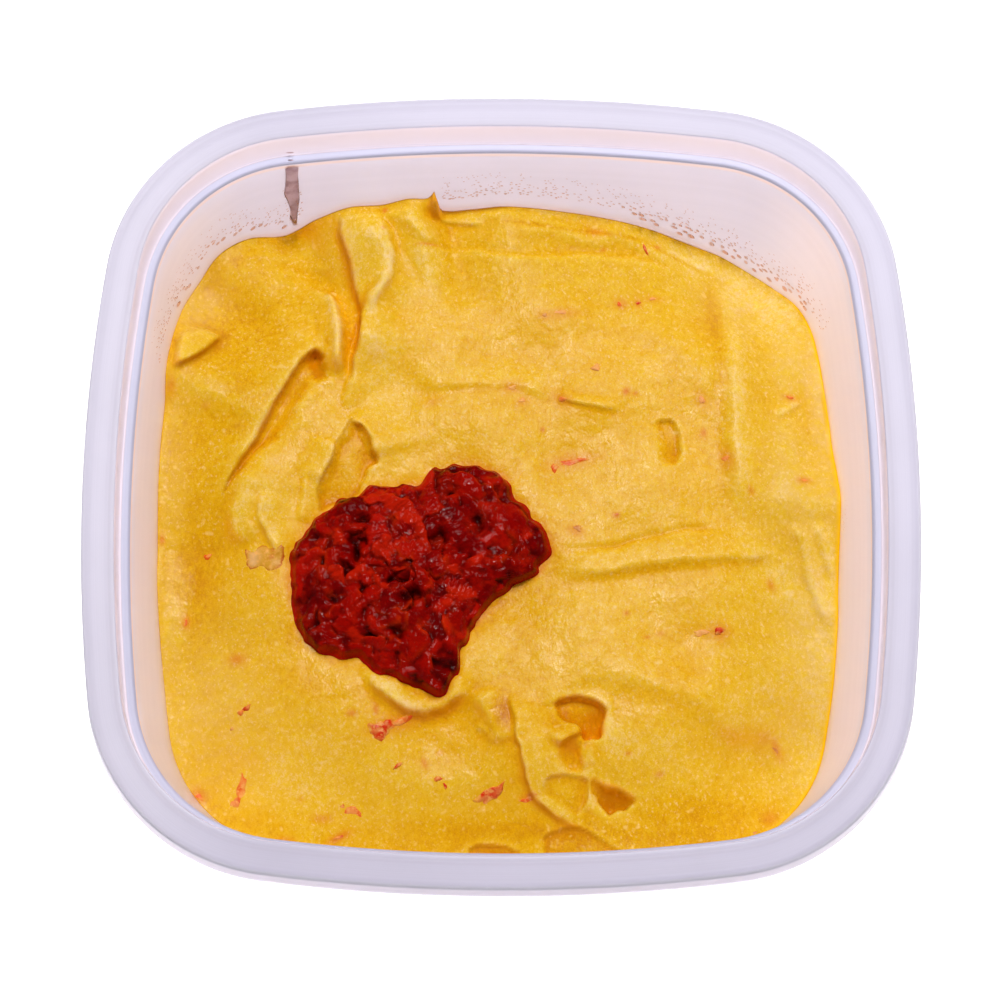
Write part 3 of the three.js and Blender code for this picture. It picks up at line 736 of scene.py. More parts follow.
def tub_profile():
    """Points of the tub's section as (zone, inset, z), inside first, over the rim, to the base."""
    bend = wall_inset(FILLET_TOP)
    foot = wall_inset(0) - WALL + FOOT_WIDTH
    inner = [(bend + FLOOR_FILLET * (1 - math.sin(turn)),
              FILLET_TOP - FLOOR_FILLET * math.cos(turn)) for turn in np.linspace(0, math.pi / 2, 9)]
    inner += [(wall_inset(z), z) for z in np.linspace(FILLET_TOP, LEDGE_Z - 1.2, 14)[1:]]
    outer = [(wall_inset(z) - WALL, z) for z in np.linspace(WALL_END_Z, FILLET_TOP, 12)]
    outer += [(bend - WALL + BASE_BEND * (1 - math.cos(turn)),
               FILLET_TOP - FILLET_TOP * math.sin(turn)) for turn in np.linspace(0, math.pi / 2, 8)[1:]]
    outer += [(foot, 0), (foot + 0.4, 0.2), (foot + 0.8, FOOT_LIFT)]
    return ([("wall", *point) for point in inner] + rim_profile()
            + [("wall", *point) for point in outer])


def tub_look(name, see_through):
    look = Look(name, Roughness=0.34, IOR=1.49, Transmission_Weight=see_through,
                Specular_IOR_Level=0.2)
    rings = look.node("TexNoise", {"W": look.number("inset"), "Scale": 3.5, "Detail": 2.0},
                      noise_dimensions="1D")["Fac"]
    cloudy = look.ramp(look.noise(60.0, 2.0), (0.35, 0.97), (0.65, 1.0))
    streaks = look.ramp(rings, (0.36, 0.975), (0.6, 1.0))
    colour = look.times(look.times(look.colour("tint"), cloudy), streaks)
    # Painted reflection: a warm band of the hummus's colour on the wall just above the food's edge
    look.to("Base Color", look.tinted(colour, look.number("food_reflection"), (0.48, 0.0), (0.5, 0.6),
                                      (0.58, 0.3), (0.75, 0.0), tint=(216, 158, 120)))
    look.to("Normal", look.bump(rings, 0.1, 0.06))
    return look.material


def tub_tints(zones, x, z):
    """Colours by zone, with a painted glow on the side walls and painted light on the lip's left side.
    """
    tints = np.repeat([ZONE_COLOURS[zone] for zone in zones], TUB_SIDES, axis=0)
    tints = np.vstack([tints, np.tile(ZONE_COLOURS["wall"], (2, 1))])
    side = smoothstep(np.abs(x), 36, 48) * smoothstep(z, 38.6, 34.0)
    tints = blend(tints, blend(LEFT_PAINTED_GLOW, RIGHT_PAINTED_GLOW, x > 0), side)
    return blend(tints, LIT_LIP, 0.6 * smoothstep(-x, 30, 52) * (z > HEIGHT - 0.2))


def make_tub():
    zones, insets, heights = zip(*tub_profile())
    even = even_turns(TUB_SIDES)
    angle = even + 0.45 * np.sin(4 * even) / 4  # closer together at the corners
    rings = [outline_points(angle, inset, z) for inset, z in zip(insets, heights)]
    points = np.vstack(rings + [[(0, 0, heights[0]), (0, 0, heights[-1])]])
    tub = mesh_piece("tub_moulding", points, loft_faces(len(zones), TUB_SIDES))
    x, y, z = points.T
    add_colour(tub, "tint", tub_tints(zones, x, z))
    # Height over the food's edge, which places the painted reflection
    add_number(tub, "food_reflection", np.clip(0.5 + 0.25 * (z - edge_level(np.arctan2(y, x))), 0, 1))
    add_number(tub, "inset", np.append(np.repeat(insets, TUB_SIDES), [30, 30]))
    tub.data.materials.append(tub_look("tub_wall", WALL_CLARITY))
    tub.data.materials.append(tub_look("tub_rim", RIM_CLARITY))
    on_rim = np.repeat([zone in RIM_ZONES for zone in zones[:-1]], TUB_SIDES)
    on_rim = np.append(on_rim, np.zeros(2 * TUB_SIDES, bool))
    tub.data.polygons.foreach_set("material_index", on_rim.astype(np.int32))
    tub.visible_shadow = False  # the thin milky wall lets the light through it
    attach(tub, "root")
    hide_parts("tub")


# ---------------------------------------------------------------- hummus

def blur(field, times):
    for _ in range(times):
        padded = np.pad(field, 1, mode="edge")
        field = (padded[:-2, 1:-1] + padded[2:, 1:-1] + padded[1:-1, :-2]
                 + padded[1:-1, 2:] + 4 * padded[1:-1, 1:-1]) / 8
    return field


# Deeper (above 0) and paler (below 0) areas, partly the hummus's own colour and partly painted shade
# along folds and edges and painted light and reflection on slopes: place, half sizes, turn in degrees,
# amount
TONE_AND_SHADE_SPOTS = [
    (41, 16, 6, 34, 0, -0.06), (34.6, 18, 0.9, 20, 0, -0.1), (38, 40, 8, 4, -35, -0.2),
    (34, 39, 15, 4, -38, -0.16), (44, 27, 4, 12, -10, -0.1), (-30, -36, 12, 9, 0, -0.14),
    (42, -28, 8, 9, 0, -0.12), (-40, 4, 8, 20, 0, 0.08), (22, -13, 12, 8, 0, -0.05),
    (-16, 38, 4, 5, 0, -0.1), (-16.5, 18.5, 4, 3, 0, -0.15), (47, -6, 2.5, 9, 8, -0.15),
    (-26, -24, 8, 5, -20, 0.08), (47, -22, 3, 16, 0, -0.15), (-47, -25, 3, 16, 0, -0.15),
    (26, -46, 14, 3, 5, 0.1), (-15, -46, 25, 2.5, 0, 0.12), (44, 24, 5, 12, 0, 0.1),
    (-38, 36, 6, 4, 0, 0.06), (-33, 1, 4, 8, 0, -0.16), (-20, 43, 4, 6, 0, -0.06),
    (-44, -10, 3, 8, 0, 0.15), (-38, 28, 9, 12, 0, 0.1), (6, 46.7, 5, 0.35, -4, 0.3),
    (17, 46, 4, 0.35, -4, 0.3), (26, 43.7, 6, 0.4, -19, 0.3), (31.5, 36, 1.4, 6, 0, 0.22),
    (32, 22, 1.2, 12, 0, 0.12), (-7.5, -31.5, 7, 4, 0, 0.04), (1.5, -37, 2, 6, 15, 0.06),
    (2, -44.5, 14, 1.4, 0, 0.2), (30, -46, 20, 2, 5, 0.1), (14.6, 17, 2.6, 0.4, -5, 0.15),
    (-3, 20.7, 8, 0.4, 0, 0.06), (24, -6.7, 13, 0.6, 5, 0.1), (12, -8.7, 6, 0.7, 14, 0.08),
    (36, -5.3, 2.5, 0.3, 10, 0.1), (24, -2.5, 12, 0.5, 8, 0.05), (2, -19, 6, 4, 0, -0.1),
    (-24, -22.5, 5, 1.6, -25, -0.15), (-15.5, -25, 5, 1, -38, -0.25), (-7, -27.9, 3.5, 0.6, 20, 0.2),
    (-43.2, 26.4, 0.5, 3, -40, 0.4), (-38, 42, 8, 1.2, 20, 0.1), (45.2, -9, 0.7, 4, 15, -0.05),
    (-36.8, 4, 1.2, 5, -12, -0.16), (-24.3, 28, 0.5, 7, -3, -0.16), (-18.6, 33, 0.6, 4, -25, -0.16),
    (12.2, -34.5, 1, 2, 0, -0.12), (8.6, -32.2, 0.7, 1.6, -30, -0.1), (5.2, -34, 1.2, 4, 5, -0.1),
    (16, -32.5, 1.5, 2.5, 0, -0.1), (20.5, -44, 1.6, 0.8, -30, -0.2), (10, -31.4, 1.8, 1.8, 0, 0.22),
    (-17.5, 25.4, 2, 4, 0, -0.3), (-20.2, 31.3, 0.9, 3.6, -3, 0.35), (-22.6, 34.6, 1.6, 3, 0, -0.12),
    (-33.2, 15.4, 1.5, 5, -35, -0.25), (17, -43.5, 6, 2, 0, 0.04), (-12.1, 40.8, 3, 3, 0, -0.08),
    (3, -15.5, 4.5, 6, 0, 0.16), (29, -41.5, 10, 2.2, 5, 0.22), (12.5, -33.2, 1.6, 1.3, 0, 0.3),
    (0.2, -27.8, 1.2, 2.2, 0, 0.25), (-29, 43.6, 3, 1.2, 0, -0.15), (-26.6, 22.6, 1.2, 1.8, 0, 0.3),
    (-37, 6.5, 1.4, 1.8, 0, 0.25), (29, 44, 6, 1.2, -18, -0.2), (41, -8, 2.2, 6, 30, -0.16),
    (-37, -42.5, 7, 2.5, -15, 0.14), (-22, -25, 5, 1.6, -20, 0.1), (-44, 4, 7, 22, 0, 0.08),
    (8.6, -29.3, 1.8, 1.5, 0, 0.25), (10.5, -32.3, 2.2, 1.4, 0, 0.2), (0.8, -28.8, 1.6, 2.2, 0, 0.2),
    (20, -33, 8, 3.5, -15, -0.12), (-14, 7, 7, 3, 0, -0.12), (-3, 22.5, 8, 1.4, -3, -0.12),
    (-44.5, 18.5, 4, 3, 0, -0.2),
]

# Pale film of oil and starch near the walls, with painted sheen of reflected light on it: place, half
# sizes, turn in degrees, strength
FILM_AND_SHEEN_SPOTS = [
    (47.6, 17, 2.4, 15, 4, 0.6), (45, -16, 4, 10, 0, 0.5), (43, -30, 5, 7, 20, 0.3),
    (-44.8, 34, 3.5, 5, -30, 0.5), (-41.5, -28, 8, 10, 0, 0.35), (-47.6, 8, 2, 14, 0, 0.3),
    (-47.4, -16, 2.2, 10, 0, 0.3), (36, 36, 8, 4, -35, 0.3), (-44, -38, 4, 5, 0, 0.3),
    (36, 37, 8, 6, -35, 0.25), (44, 27, 4, 7, 10, 0.5), (43, 8, 5, 10, 0, 0.35),
]

# Stains of pepper just under the surface: place, half sizes, turn in degrees, strength
STAINS = [
    (-15.3, -30.2, 3.6, 1.3, 20, 0.5), (31.1, -16.2, 1.5, 1.1, 0, 0.5), (10.2, 9.5, 3.2, 1, 12, 0.45),
    (-37.5, -20.6, 1.2, 0.8, 0, 0.5), (-21, -28.9, 0.7, 0.4, 0, 0.6), (-17.6, -28.3, 0.4, 0.9, 10, 0.6),
    (-30.4, -46.1, 1.3, 0.6, 0, 0.5), (-22.7, -45.6, 1.6, 0.5, 25, 0.7), (-45, -14.8, 0.5, 0.9, 0, 0.6),
    (-10.7, -35.6, 0.4, 0.8, 15, 0.5), (-42.8, -39.3, 1.1, 0.9, -30, 0.6),
    (-25.1, -43, 1.2, 0.6, 0, 0.4), (9, 18.9, 1.3, 0.9, -20, 0.5), (1.6, 20.7, 1.4, 0.9, 0, 0.35),
    (3.1, 18.4, 1, 0.7, 20, 0.35), (17.6, 34.4, 0.9, 0.8, 0, 0.5), (20.2, 34.7, 0.5, 0.7, 0, 0.5),
    (22.4, 35.6, 1.3, 0.6, 0, 0.3), (9.1, 32.3, 2.4, 0.8, 10, 0.3), (6.4, 31.9, 1, 0.6, 0, 0.4),
    (18.2, 20.2, 0.6, 0.5, 60, 0.7), (19.6, 20, 0.3, 0.3, 0, 0.6), (42.6, 20.8, 0.9, 0.5, -20, 0.6),
    (44, 7.2, 1, 0.5, 0, 0.6), (32.8, 10.1, 1, 1.6, 20, 0.4), (36.2, 5.2, 0.4, 0.7, 20, 0.5),
    (29.5, 14.2, 0.4, 0.7, 0, 0.6), (29.2, 19.3, 0.9, 1.3, 30, 0.3), (6, 14.2, 0.3, 0.4, 0, 0.7),
    (14.1, 46.3, 1.5, 0.7, 0, 0.35), (23.3, 45, 0.4, 0.3, 0, 0.6), (-17.4, 48.2, 0.3, 0.4, 0, 0.8),
    (-48.2, 20.3, 0.7, 1.2, 0, 0.3), (-43, 17.1, 0.6, 0.5, 0, 0.3), (-10, 18.3, 1.4, 0.6, 15, 0.25),
    (10.8, -1.4, 1.2, 0.8, -30, 0.45), (16.6, 1.2, 0.5, 0.4, 0, 0.7), (38.8, -8.6, 0.5, 0.8, 20, 0.5),
    (39.3, -32, 0.6, 1.6, 25, 0.5), (37.7, -30.6, 1, 1, 30, 0.3), (17.9, -13.6, 0.4, 0.4, 0, 0.6),
    (22.7, -16.5, 0.6, 0.4, 0, 0.4), (20.8, -17.1, 0.4, 0.3, 0, 0.5), (28.6, -16, 2.6, 1.2, 0, 0.12),
    (4.2, -40.1, 1.2, 0.4, 10, 0.7), (18, -34, 0.4, 0.3, 0, 0.6), (22.4, -36.8, 0.6, 0.4, 0, 0.5),
    (38.3, -41.9, 1.2, 0.9, 30, 0.35), (-28.1, -40.4, 0.5, 0.4, 0, 0.3), (-8.6, -34, 0.5, 0.3, 0, 0.3),
    (-48.8, -2.6, 0.3, 0.7, 0, 0.7), (-17.6, 44.8, 0.3, 0.3, 0, 0.5), (15.1, 43.6, 0.4, 0.3, 0, 0.5),
    (-11, 42.8, 1.5, 0.25, 5, 0.5),
]

SPOT_SPREAD = 1.1
LOWER_LEFT = [(-30, -30, 12, 12, 0, 1.0)]
SIDE_TOP_Z = 11.0
HUMMUS_BOTTOM = FLOOR_Z - 0.05


def spots(table, x, y, join):
    """Joins soft ovals, given as (x, y, half sizes, turn, amount), over an area."""
    amount = np.zeros(x.shape)
    for px, py, a, b, turn, strength in table:
        amount = join(amount, strength * oval(x, y, px, py, a * SPOT_SPREAD, b * SPOT_SPREAD, turn))
    return amount


def hummus_look():
    """Its colours follow the numbers that hummus_fields gives, and noise of several sizes."""
    look = Look("hummus", Specular_IOR_Level=0.08)
    clouds, patches = look.noise(70.0, 1.0), look.noise(260.0, 2.0)
    lumps, dots = look.noise(700.0, 2.0, 0.6), look.noise(5000.0, 0.0)
    grain = look.noise(2100.0, 1.0, stretch=(1.0, 0.6, 1.0))
    tone_and_shade = look.number("tone_and_shade")
    for field, share in ((clouds, 0.16), (patches, 0.26), (lumps, -0.3), (grain, -0.4),
                         (dots, -0.3)):
        tone_and_shade = look.sum(tone_and_shade, look.sum(-0.5, field, 1.0), share)
    base = look.ramp(tone_and_shade, (0.0, linear(252, 216, 160)), (0.34, linear(240, 188, 62)),
                     (0.6, linear(231, 168, 14)), (0.95, linear(206, 126, 0)))
    # Pale film near the walls, partly painted sheen of reflected light
    base = look.mix(look.number("film_and_sheen"), base, linear(238, 192, 118))
    # deeper yellow here and there, and slightly cooler towards the wall
    cream = look.ramp(look.noise(900.0, 3.0, 0.7), (0.34, (1, 1, 0.3)), (0.66, (1, 1, 1)))
    base = look.times(base, cream)
    base = look.mix(look.number("border"), base, (0.92, 0.965, 1.0), "MULTIPLY")
    # pale blots, and pale specks, partly grain and partly painted glints of the wet surface, fewer
    # where the tone is deep
    base = look.tinted(base, look.noise(800.0, 1.0), (0.66, 0.0), (0.78, 0.5), tint=(250, 210, 120))
    grain_and_glint_specks = look.ramp(look.noise(2500.0, 2.0, stretch=(1.0, 0.8, 1.0)), (0.57, 0.0), (0.74, 0.45))
    open_top = look.ramp(look.sum(tone_and_shade, clouds, 0.5), (0.72, 1.0), (0.95, 0.1))
    base = look.mix(look.times(grain_and_glint_specks, open_top), base, linear(254, 220, 160))
    # painted glow: warmer orange where the surface turns away from the key light, standing in for light
    # scattered inside the hummus
    painted_glow, rim = look.number("painted_glow"), look.number("rim")
    base = look.tinted(base, painted_glow, (0.0, 0.0), (0.5, 0.4), tint=(250, 182, 16))
    base = look.tinted(base, painted_glow, (0.25, 0.0), (0.65, 0.5), tint=(255, 152, 0))
    # painted shadow lines along the overhung edges of hollows, the bright film on the wall, painted
    # shadow along the back edge, stains of pepper
    base = look.mix(look.number("line"), base, linear(160, 76, 0))
    base = look.tinted(base, rim, (0.5, 0.0), (1.0, 0.9), tint=(250, 192, 8))
    base = look.tinted(base, rim, (0.0, 0.8), (0.5, 0.0), tint=(140, 80, 20))
    look.to("Base Color", look.mix(look.number("stain"), base, linear(216, 92, 34)))
    look.to("Normal", look.bump(lumps, 0.8, 0.12, look.bump(grain, 0.8, 0.05)))
    look.to("Roughness", look.ramp(patches, (0.35, 0.2), (0.65, 0.36)))
    return look.material


def hummus_rim(angle, wall_near):
    """Above 0.5 where a thin bright film climbs the wall, below 0.5 where painted shadow darkens the
    back edge.
    """
    degrees = np.degrees(angle)
    bright = smoothstep(degrees, -60, -40) * smoothstep(degrees, 52, 36)
    back = smoothstep(degrees, 42, 60) * smoothstep(degrees, 150, 125)
    crevice = smoothstep(degrees, 88, 92) * smoothstep(degrees, 101, 100)
    return (0.5 + 0.5 * bright * smoothstep(wall_near, 0.75, 0.3)
            - 0.5 * back * smoothstep(wall_near, 0.3 + 0.5 * crevice, 0.05))


def surface_fields(x, y):
    """How hollow the surface is over a wide and a narrow area, and how far it turns away from
    the key light, at the given points. They are worked out on an even grid."""
    step = 0.35
    axis = np.arange(-HALF_WIDTH, HALF_WIDTH, step)
    z = hummus_top(*np.meshgrid(axis, axis))
    slope_y, slope_x = np.gradient(z, step)
    normal = np.stack([-slope_x, -slope_y, np.ones_like(z)], -1)
    normal /= np.linalg.norm(normal, axis=-1, keepdims=True)
    light = np.array(KEY_PLACE) - np.array(LIGHT_AIM)
    away = blur(np.clip(1 - normal @ light / light[2], 0, 1), 3)
    column, row = (x - axis[0]) / step, (y - axis[0]) / step
    i, j = np.floor(row).astype(int), np.floor(column).astype(int)
    return [in_cells(field, i, j, row - i, column - j)
            for field in (blur(z, 60) - z, blur(z, 8) - z, away)]


def hummus_fields(x, y, z, angle, share):
    """Numbers on the top of the hummus that its material reads, each with its value lower down."""
    wide_hollow, narrow_hollow, away = surface_fields(x, y)
    _, hollow_tones_and_shades, edge_shadow_lines = zip(*(hollow_shape(hollow, *uneven(x, y)) for hollow in HOLLOWS))
    cover = relish_cover(x, y)
    # Painted shade: a deeper colour in wide hollows, in creases and round the relish, and paler crests
    tone_and_shade = (0.47 + spots(TONE_AND_SHADE_SPOTS, x, y, np.add) + 0.14 * np.clip(wide_hollow / 0.6, -1, 1.5)
            + 0.1 * np.clip(narrow_hollow / 0.1, -1, 1) + sum(hollow_tones_and_shades)
            + 0.16 * smoothstep(cover, 1.22, 1.0))
    seep = 0.5 * (0.5 + 0.5 * noise(x, y, 3.0, 61)) * smoothstep(cover, 1.06, 0.99)
    wall_near = reach(angle, wall_inset(z)) - np.hypot(x, y)
    return {
        "painted_glow": (away * (1 - np.clip(2.5 * np.max(hollow_tones_and_shades, 0), 0, 1)), 0),
        "tone_and_shade": (np.clip(tone_and_shade, 0, 1), 0.6),
        "border": (smoothstep(share, 0.58, 0.85)
                   * (1 - 0.6 * spots(LOWER_LEFT, x, y, np.maximum)), 1),
        "film_and_sheen": (spots(FILM_AND_SHEEN_SPOTS, x, y, np.maximum), 0),
        "stain": (np.maximum(spots(STAINS, x, y, np.maximum), seep), 0),
        "line": (0.35 * np.max(edge_shadow_lines, 0), 0),
        "rim": (hummus_rim(angle, wall_near), 0.5),
    }


def close_below(points, faces, ring, angle):
    """Adds the side, floor fillet and bottom of the hummus under a ring of its points."""
    insets, heights = [wall_inset(SIDE_TOP_Z) - INTO_WALL], [SIDE_TOP_Z]
    for bend in np.linspace(0, math.pi / 2, 5):
        insets.append(wall_inset(FILLET_TOP) + FLOOR_FILLET
                      - (FLOOR_FILLET + INTO_WALL) * math.cos(bend))
        heights.append(FILLET_TOP - (FILLET_TOP - HUMMUS_BOTTOM) * math.sin(bend))
    count = len(points)
    for inset, z in zip(insets, heights):
        points = np.vstack([points, outline_points(angle, inset, z)])
        lower = np.arange(count, count + len(ring))
        faces += np.stack([ring, lower, np.roll(lower, -1), np.roll(ring, -1)], 1).tolist()
        ring, count = lower, len(points)
    faces += [(count, b, a) for a, b in zip(ring.tolist(), np.roll(ring, -1).tolist())]
    return np.vstack([points, [(0, 0, HUMMUS_BOTTOM)]])


def make_hummus():
    """The top is a square grid, pulled out to the outline of the tub's wall."""
    side = HUMMUS_CELLS + 1
    v, u = np.meshgrid(np.linspace(-1, 1, side), np.linspace(-1, 1, side), indexing="ij")
    angle, share = np.arctan2(v, u), np.maximum(np.abs(u), np.abs(v))
    edge = reach(angle, wall_inset(edge_level(angle) + wall_tip(angle, 1.0)) - INTO_WALL)
    x, y = share * edge * np.cos(angle), share * edge * np.sin(angle)
    z, lean_x, lean_y = hummus_shape(x, y)
    free = smoothstep(share, 1.0, 0.985)
    z = z + free * (0.05 * noise(x, y, 1.8, 5) + 0.025 * noise(x, y, 0.9, 6))
    points = np.stack([x + free * lean_x, y + free * lean_y, z], -1).reshape(-1, 3)
    index = np.arange(side ** 2).reshape(side, side)
    faces = np.stack([index[:-1, :-1], index[:-1, 1:], index[1:, 1:], index[1:, :-1]],
                     -1).reshape(-1, 4).tolist()
    ring = np.concatenate([index[0, :-1], index[:-1, -1], index[-1, :0:-1], index[:0:-1, 0]])
    points = close_below(points, faces, ring, angle.ravel()[ring])
    hummus = mesh_piece("hummus_surface", points, faces)
    for name, (field, below) in hummus_fields(x, y, z, angle, share).items():
        add_number(hummus, name, np.append(field, np.full(len(points) - field.size, below)))
    hummus.data.materials.append(hummus_look())
    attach(hummus, "root")
    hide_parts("hummus")


# ---------------------------------------------------------------- flakes in the hummus

RED, ORANGE, BROWN, PALE = (linear(214, 46, 4), linear(232, 92, 14), linear(204, 120, 60),
                            linear(240, 160, 88))
SKIN = None  # a see-through piece of skin with a brown outline
FLAKE_RINGS, FLAKE_SIDES = 8, 28
FLAKE_DEPTH = 0.5
# Middle, length, width, turn in degrees, rise, colour
FLAKES = [
    (-16.8, -31, 4.2, 2.7, 18, 0.35, RED), (-13.9, -29.7, 3.8, 1.1, 24, 0.3, ORANGE),
    (-1.5, -39.8, 4.8, 1.8, 27, 0.35, RED), (31.2, -16, 1.7, 1.2, 0, 0.35, RED),
    (-35.9, -27.7, 1.5, 0.8, 30, 0.3, RED), (-36.8, -28.3, 1, 0.9, 30, 0.3, ORANGE),
    (-20.9, -42.1, 3.2, 1.3, -18, 0.2, ORANGE), (-22.2, -41.5, 0.9, 0.8, -30, 0.2, RED),
    (-36.6, -38.4, 4.6, 1.4, 84, 0.2, ORANGE), (-37.5, -40.4, 2, 1.5, 60, 0.2, RED),
    (-42.2, -5.1, 1.3, 0.9, 0, 0.25, ORANGE), (-8.8, -37.8, 1.3, 0.8, 0, 0.3, RED),
    (-7.8, -38.8, 1.1, 0.5, -60, 0.25, RED), (21.5, 44.2, 2.2, 0.5, -65, 0.3, RED),
    (-14.4, -36, 1.6, 0.6, 42, 0.3, RED), (7.8, 8.3, 1.8, 1.2, 70, 0.25, ORANGE),
    (10.4, 9.4, 4.8, 1.1, 12, 0.2, ORANGE), (17.4, 34.4, 1, 0.7, -60, 0.2, ORANGE),
    (20.2, 34.8, 0.9, 0.5, 0, 0.2, RED), (-42.7, -39.4, 1.6, 0.8, -35, 0.2, ORANGE),
    (-22.7, -45.6, 2, 0.5, 22, 0.2, RED), (42.5, 20.9, 1.2, 0.5, -20, 0.2, ORANGE),
    (-45.1, -14.9, 1.3, 0.5, 80, 0.2, ORANGE), (8.9, 18.9, 1.6, 0.9, -20, 0.2, ORANGE),
    (44.1, 7.2, 1.1, 0.5, 0, 0.15, ORANGE), (32.6, 10.1, 1.4, 1, 20, 0.2, ORANGE),
    (16.7, 1.3, 0.9, 0.5, 0, 0.15, RED), (11, -1, 1.6, 1, -30, 0.2, BROWN),
    (39.2, -32.2, 1.6, 0.6, -50, 0.15, BROWN), (36, -44.2, 0.9, 0.5, 20, 0.15, BROWN),
    (-38, -30.5, 0.9, 0.8, 0, 0.15, BROWN), (6.3, 32, 0.9, 0.7, 0, 0.15, BROWN),
    (4, -40.5, 3, 0.9, 6, 0.2, ORANGE), (8.7, 32.5, 2.4, 0.8, 10, 0.2, PALE),
    (22.4, 35.7, 1.2, 0.6, 0, 0.2, PALE), (28.6, -16.3, 2.6, 1.1, 0, 0.2, PALE),
    (13.8, 24, 1.6, 1.2, 30, 0.25, PALE), (3, 18.6, 1.2, 0.8, 20, 0.2, PALE),
    (1.6, 20.6, 1.4, 0.9, 0, 0.2, PALE), (29.2, 19.3, 1, 1.4, 30, 0.2, PALE),
    (-33.8, -6, 6.2, 3.7, -4, 0.28, SKIN),
]


def flake_tint(colour, share, grain):
    tint = blend(colour, linear(244, 180, 90), 0.5 * grain)
    to_edge = 0.75 * smoothstep(share + 0.3 * (grain - 0.5), 0.65, 1.0)
    return blend(tint, linear(234, 166, 40), to_edge)


def skin_tint(along, share, grain):
    """Brown at the outline, with a cream band and a brown mottled one across it."""
    tint = blend(linear(216, 154, 40), linear(190, 84, 18), smoothstep(share, 0.76, 0.9))
    cream = 0.5 * np.exp(-((along + 0.27) / 0.12) ** 2) * smoothstep(share, 0.85, 0.6)
    brown = 0.8 * np.exp(-((along - 0.2) / 0.14) ** 2) * smoothstep(grain, 0.3, 0.7)
    return blend(blend(tint, linear(242, 196, 150), cream), linear(206, 116, 30), brown)


def flake_look():
    look = Look("pepper_flakes", Roughness=0.35, Specular_IOR_Level=0.15)
    mottle = look.noise(1500.0, 3.0, 0.6)
    look.to("Base Color", look.tinted(look.colour("tint"), mottle, (0.5, 0.0), (0.66, 0.7),
                                      tint=(246, 180, 90)))
    look.to("Normal", look.bump(mottle, 0.4, 0.15))
    return look.material


def make_flakes():
    rng = np.random.default_rng(11)
    angle = even_turns(FLAKE_SIDES)
    share = np.append(np.repeat(np.linspace(1.0, 0.14, FLAKE_RINGS), FLAKE_SIDES), [0, 0])
    unit_faces = dome_faces(FLAKE_RINGS, FLAKE_SIDES)
    bodies, tints = Bodies(), []
    for fx, fy, length, width, turn, rise, colour in FLAKES:
        ragged = (1 + 0.16 * np.sin(3 * angle + rng.uniform(0, 6))
                  + 0.09 * np.sin(7 * angle + rng.uniform(0, 6))
                  + rng.uniform(-0.08, 0.08, FLAKE_SIDES))
        if colour is SKIN:
            ragged = ragged ** 0.4 * (np.cos(angle) ** 4 + np.sin(angle) ** 4) ** -0.25
        u = share * np.append(np.tile(ragged * np.cos(angle), FLAKE_RINGS), [0, 0]) * length / 2
        v = share * np.append(np.tile(ragged * np.sin(angle), FLAKE_RINGS), [0, 0]) * width / 2
        v = v + 0.1 * width * np.sin(2.2 * u + turn)
        px, py = turned(u, v, -math.radians(turn))
        px, py = fx + px, fy + py
        lift = rise * (1 - share ** 4) + 0.25 * rise * noise(px, py, 0.5, 8) - UNDER_HUMMUS
        lift[-1] = -FLAKE_DEPTH
        bodies.add(np.stack([px, py, hummus_top(px, py) + lift], 1), unit_faces)
        grain = np.clip(0.5 + 0.9 * noise(px, py, 0.6, 9), 0, 1)
        tints.append(skin_tint(u / length, share, grain) if colour is SKIN
                     else flake_tint(colour, share, grain))
    flakes = bodies.piece("pepper_flakes")
    add_colour(flakes, "tint", np.vstack(tints))
    flakes.data.materials.append(flake_look())
    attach(flakes, "root")


# ---------------------------------------------------------------- relish

RELISH_RINGS, RELISH_SIDES = 120, 420
UNDERSIDE_SHARES = (0.985, 0.6)  # of the outline, where it is closed underneath
PIECES = 260
GOLDEN_TURN = 2.39996  # spreads the pieces evenly over the relish
PEPPER_TINTS = [linear(144, 6, 0), linear(166, 12, 2), linear(120, 0, 0), linear(182, 24, 3),
                linear(152, 6, 0), linear(132, 2, 0), linear(104, 0, 0)]
# The rim tint is a brighter red: painted light to offset the shade on the relish's sloping rim
ORANGE_EDGE, BRIGHTENED_RIM_TINT = linear(214, 56, 4), linear(200, 22, 0)
SAUCE_TINT, PIT_SHADE_TINT = linear(104, 0, 0), linear(34, 0, 0)
# Hollows between the pieces, painted dark as shade: middle, half sizes, depth
PITS = [
    (-20.8, -5.6, 0.9, 1.9, 1.3), (-14.9, -9.9, 1.6, 0.9, 1.2), (-12.5, -12.4, 1.7, 1.1, 1.5),
    (-14.6, -17.2, 1.2, 0.9, 1), (-20, -1.2, 1.5, 0.7, 0.9), (-3, -0.8, 1.6, 1.2, 1.2),
    (-24.2, -12.5, 1.3, 0.8, 0.8), (-9, -3.6, 0.8, 1.5, 0.9),
]


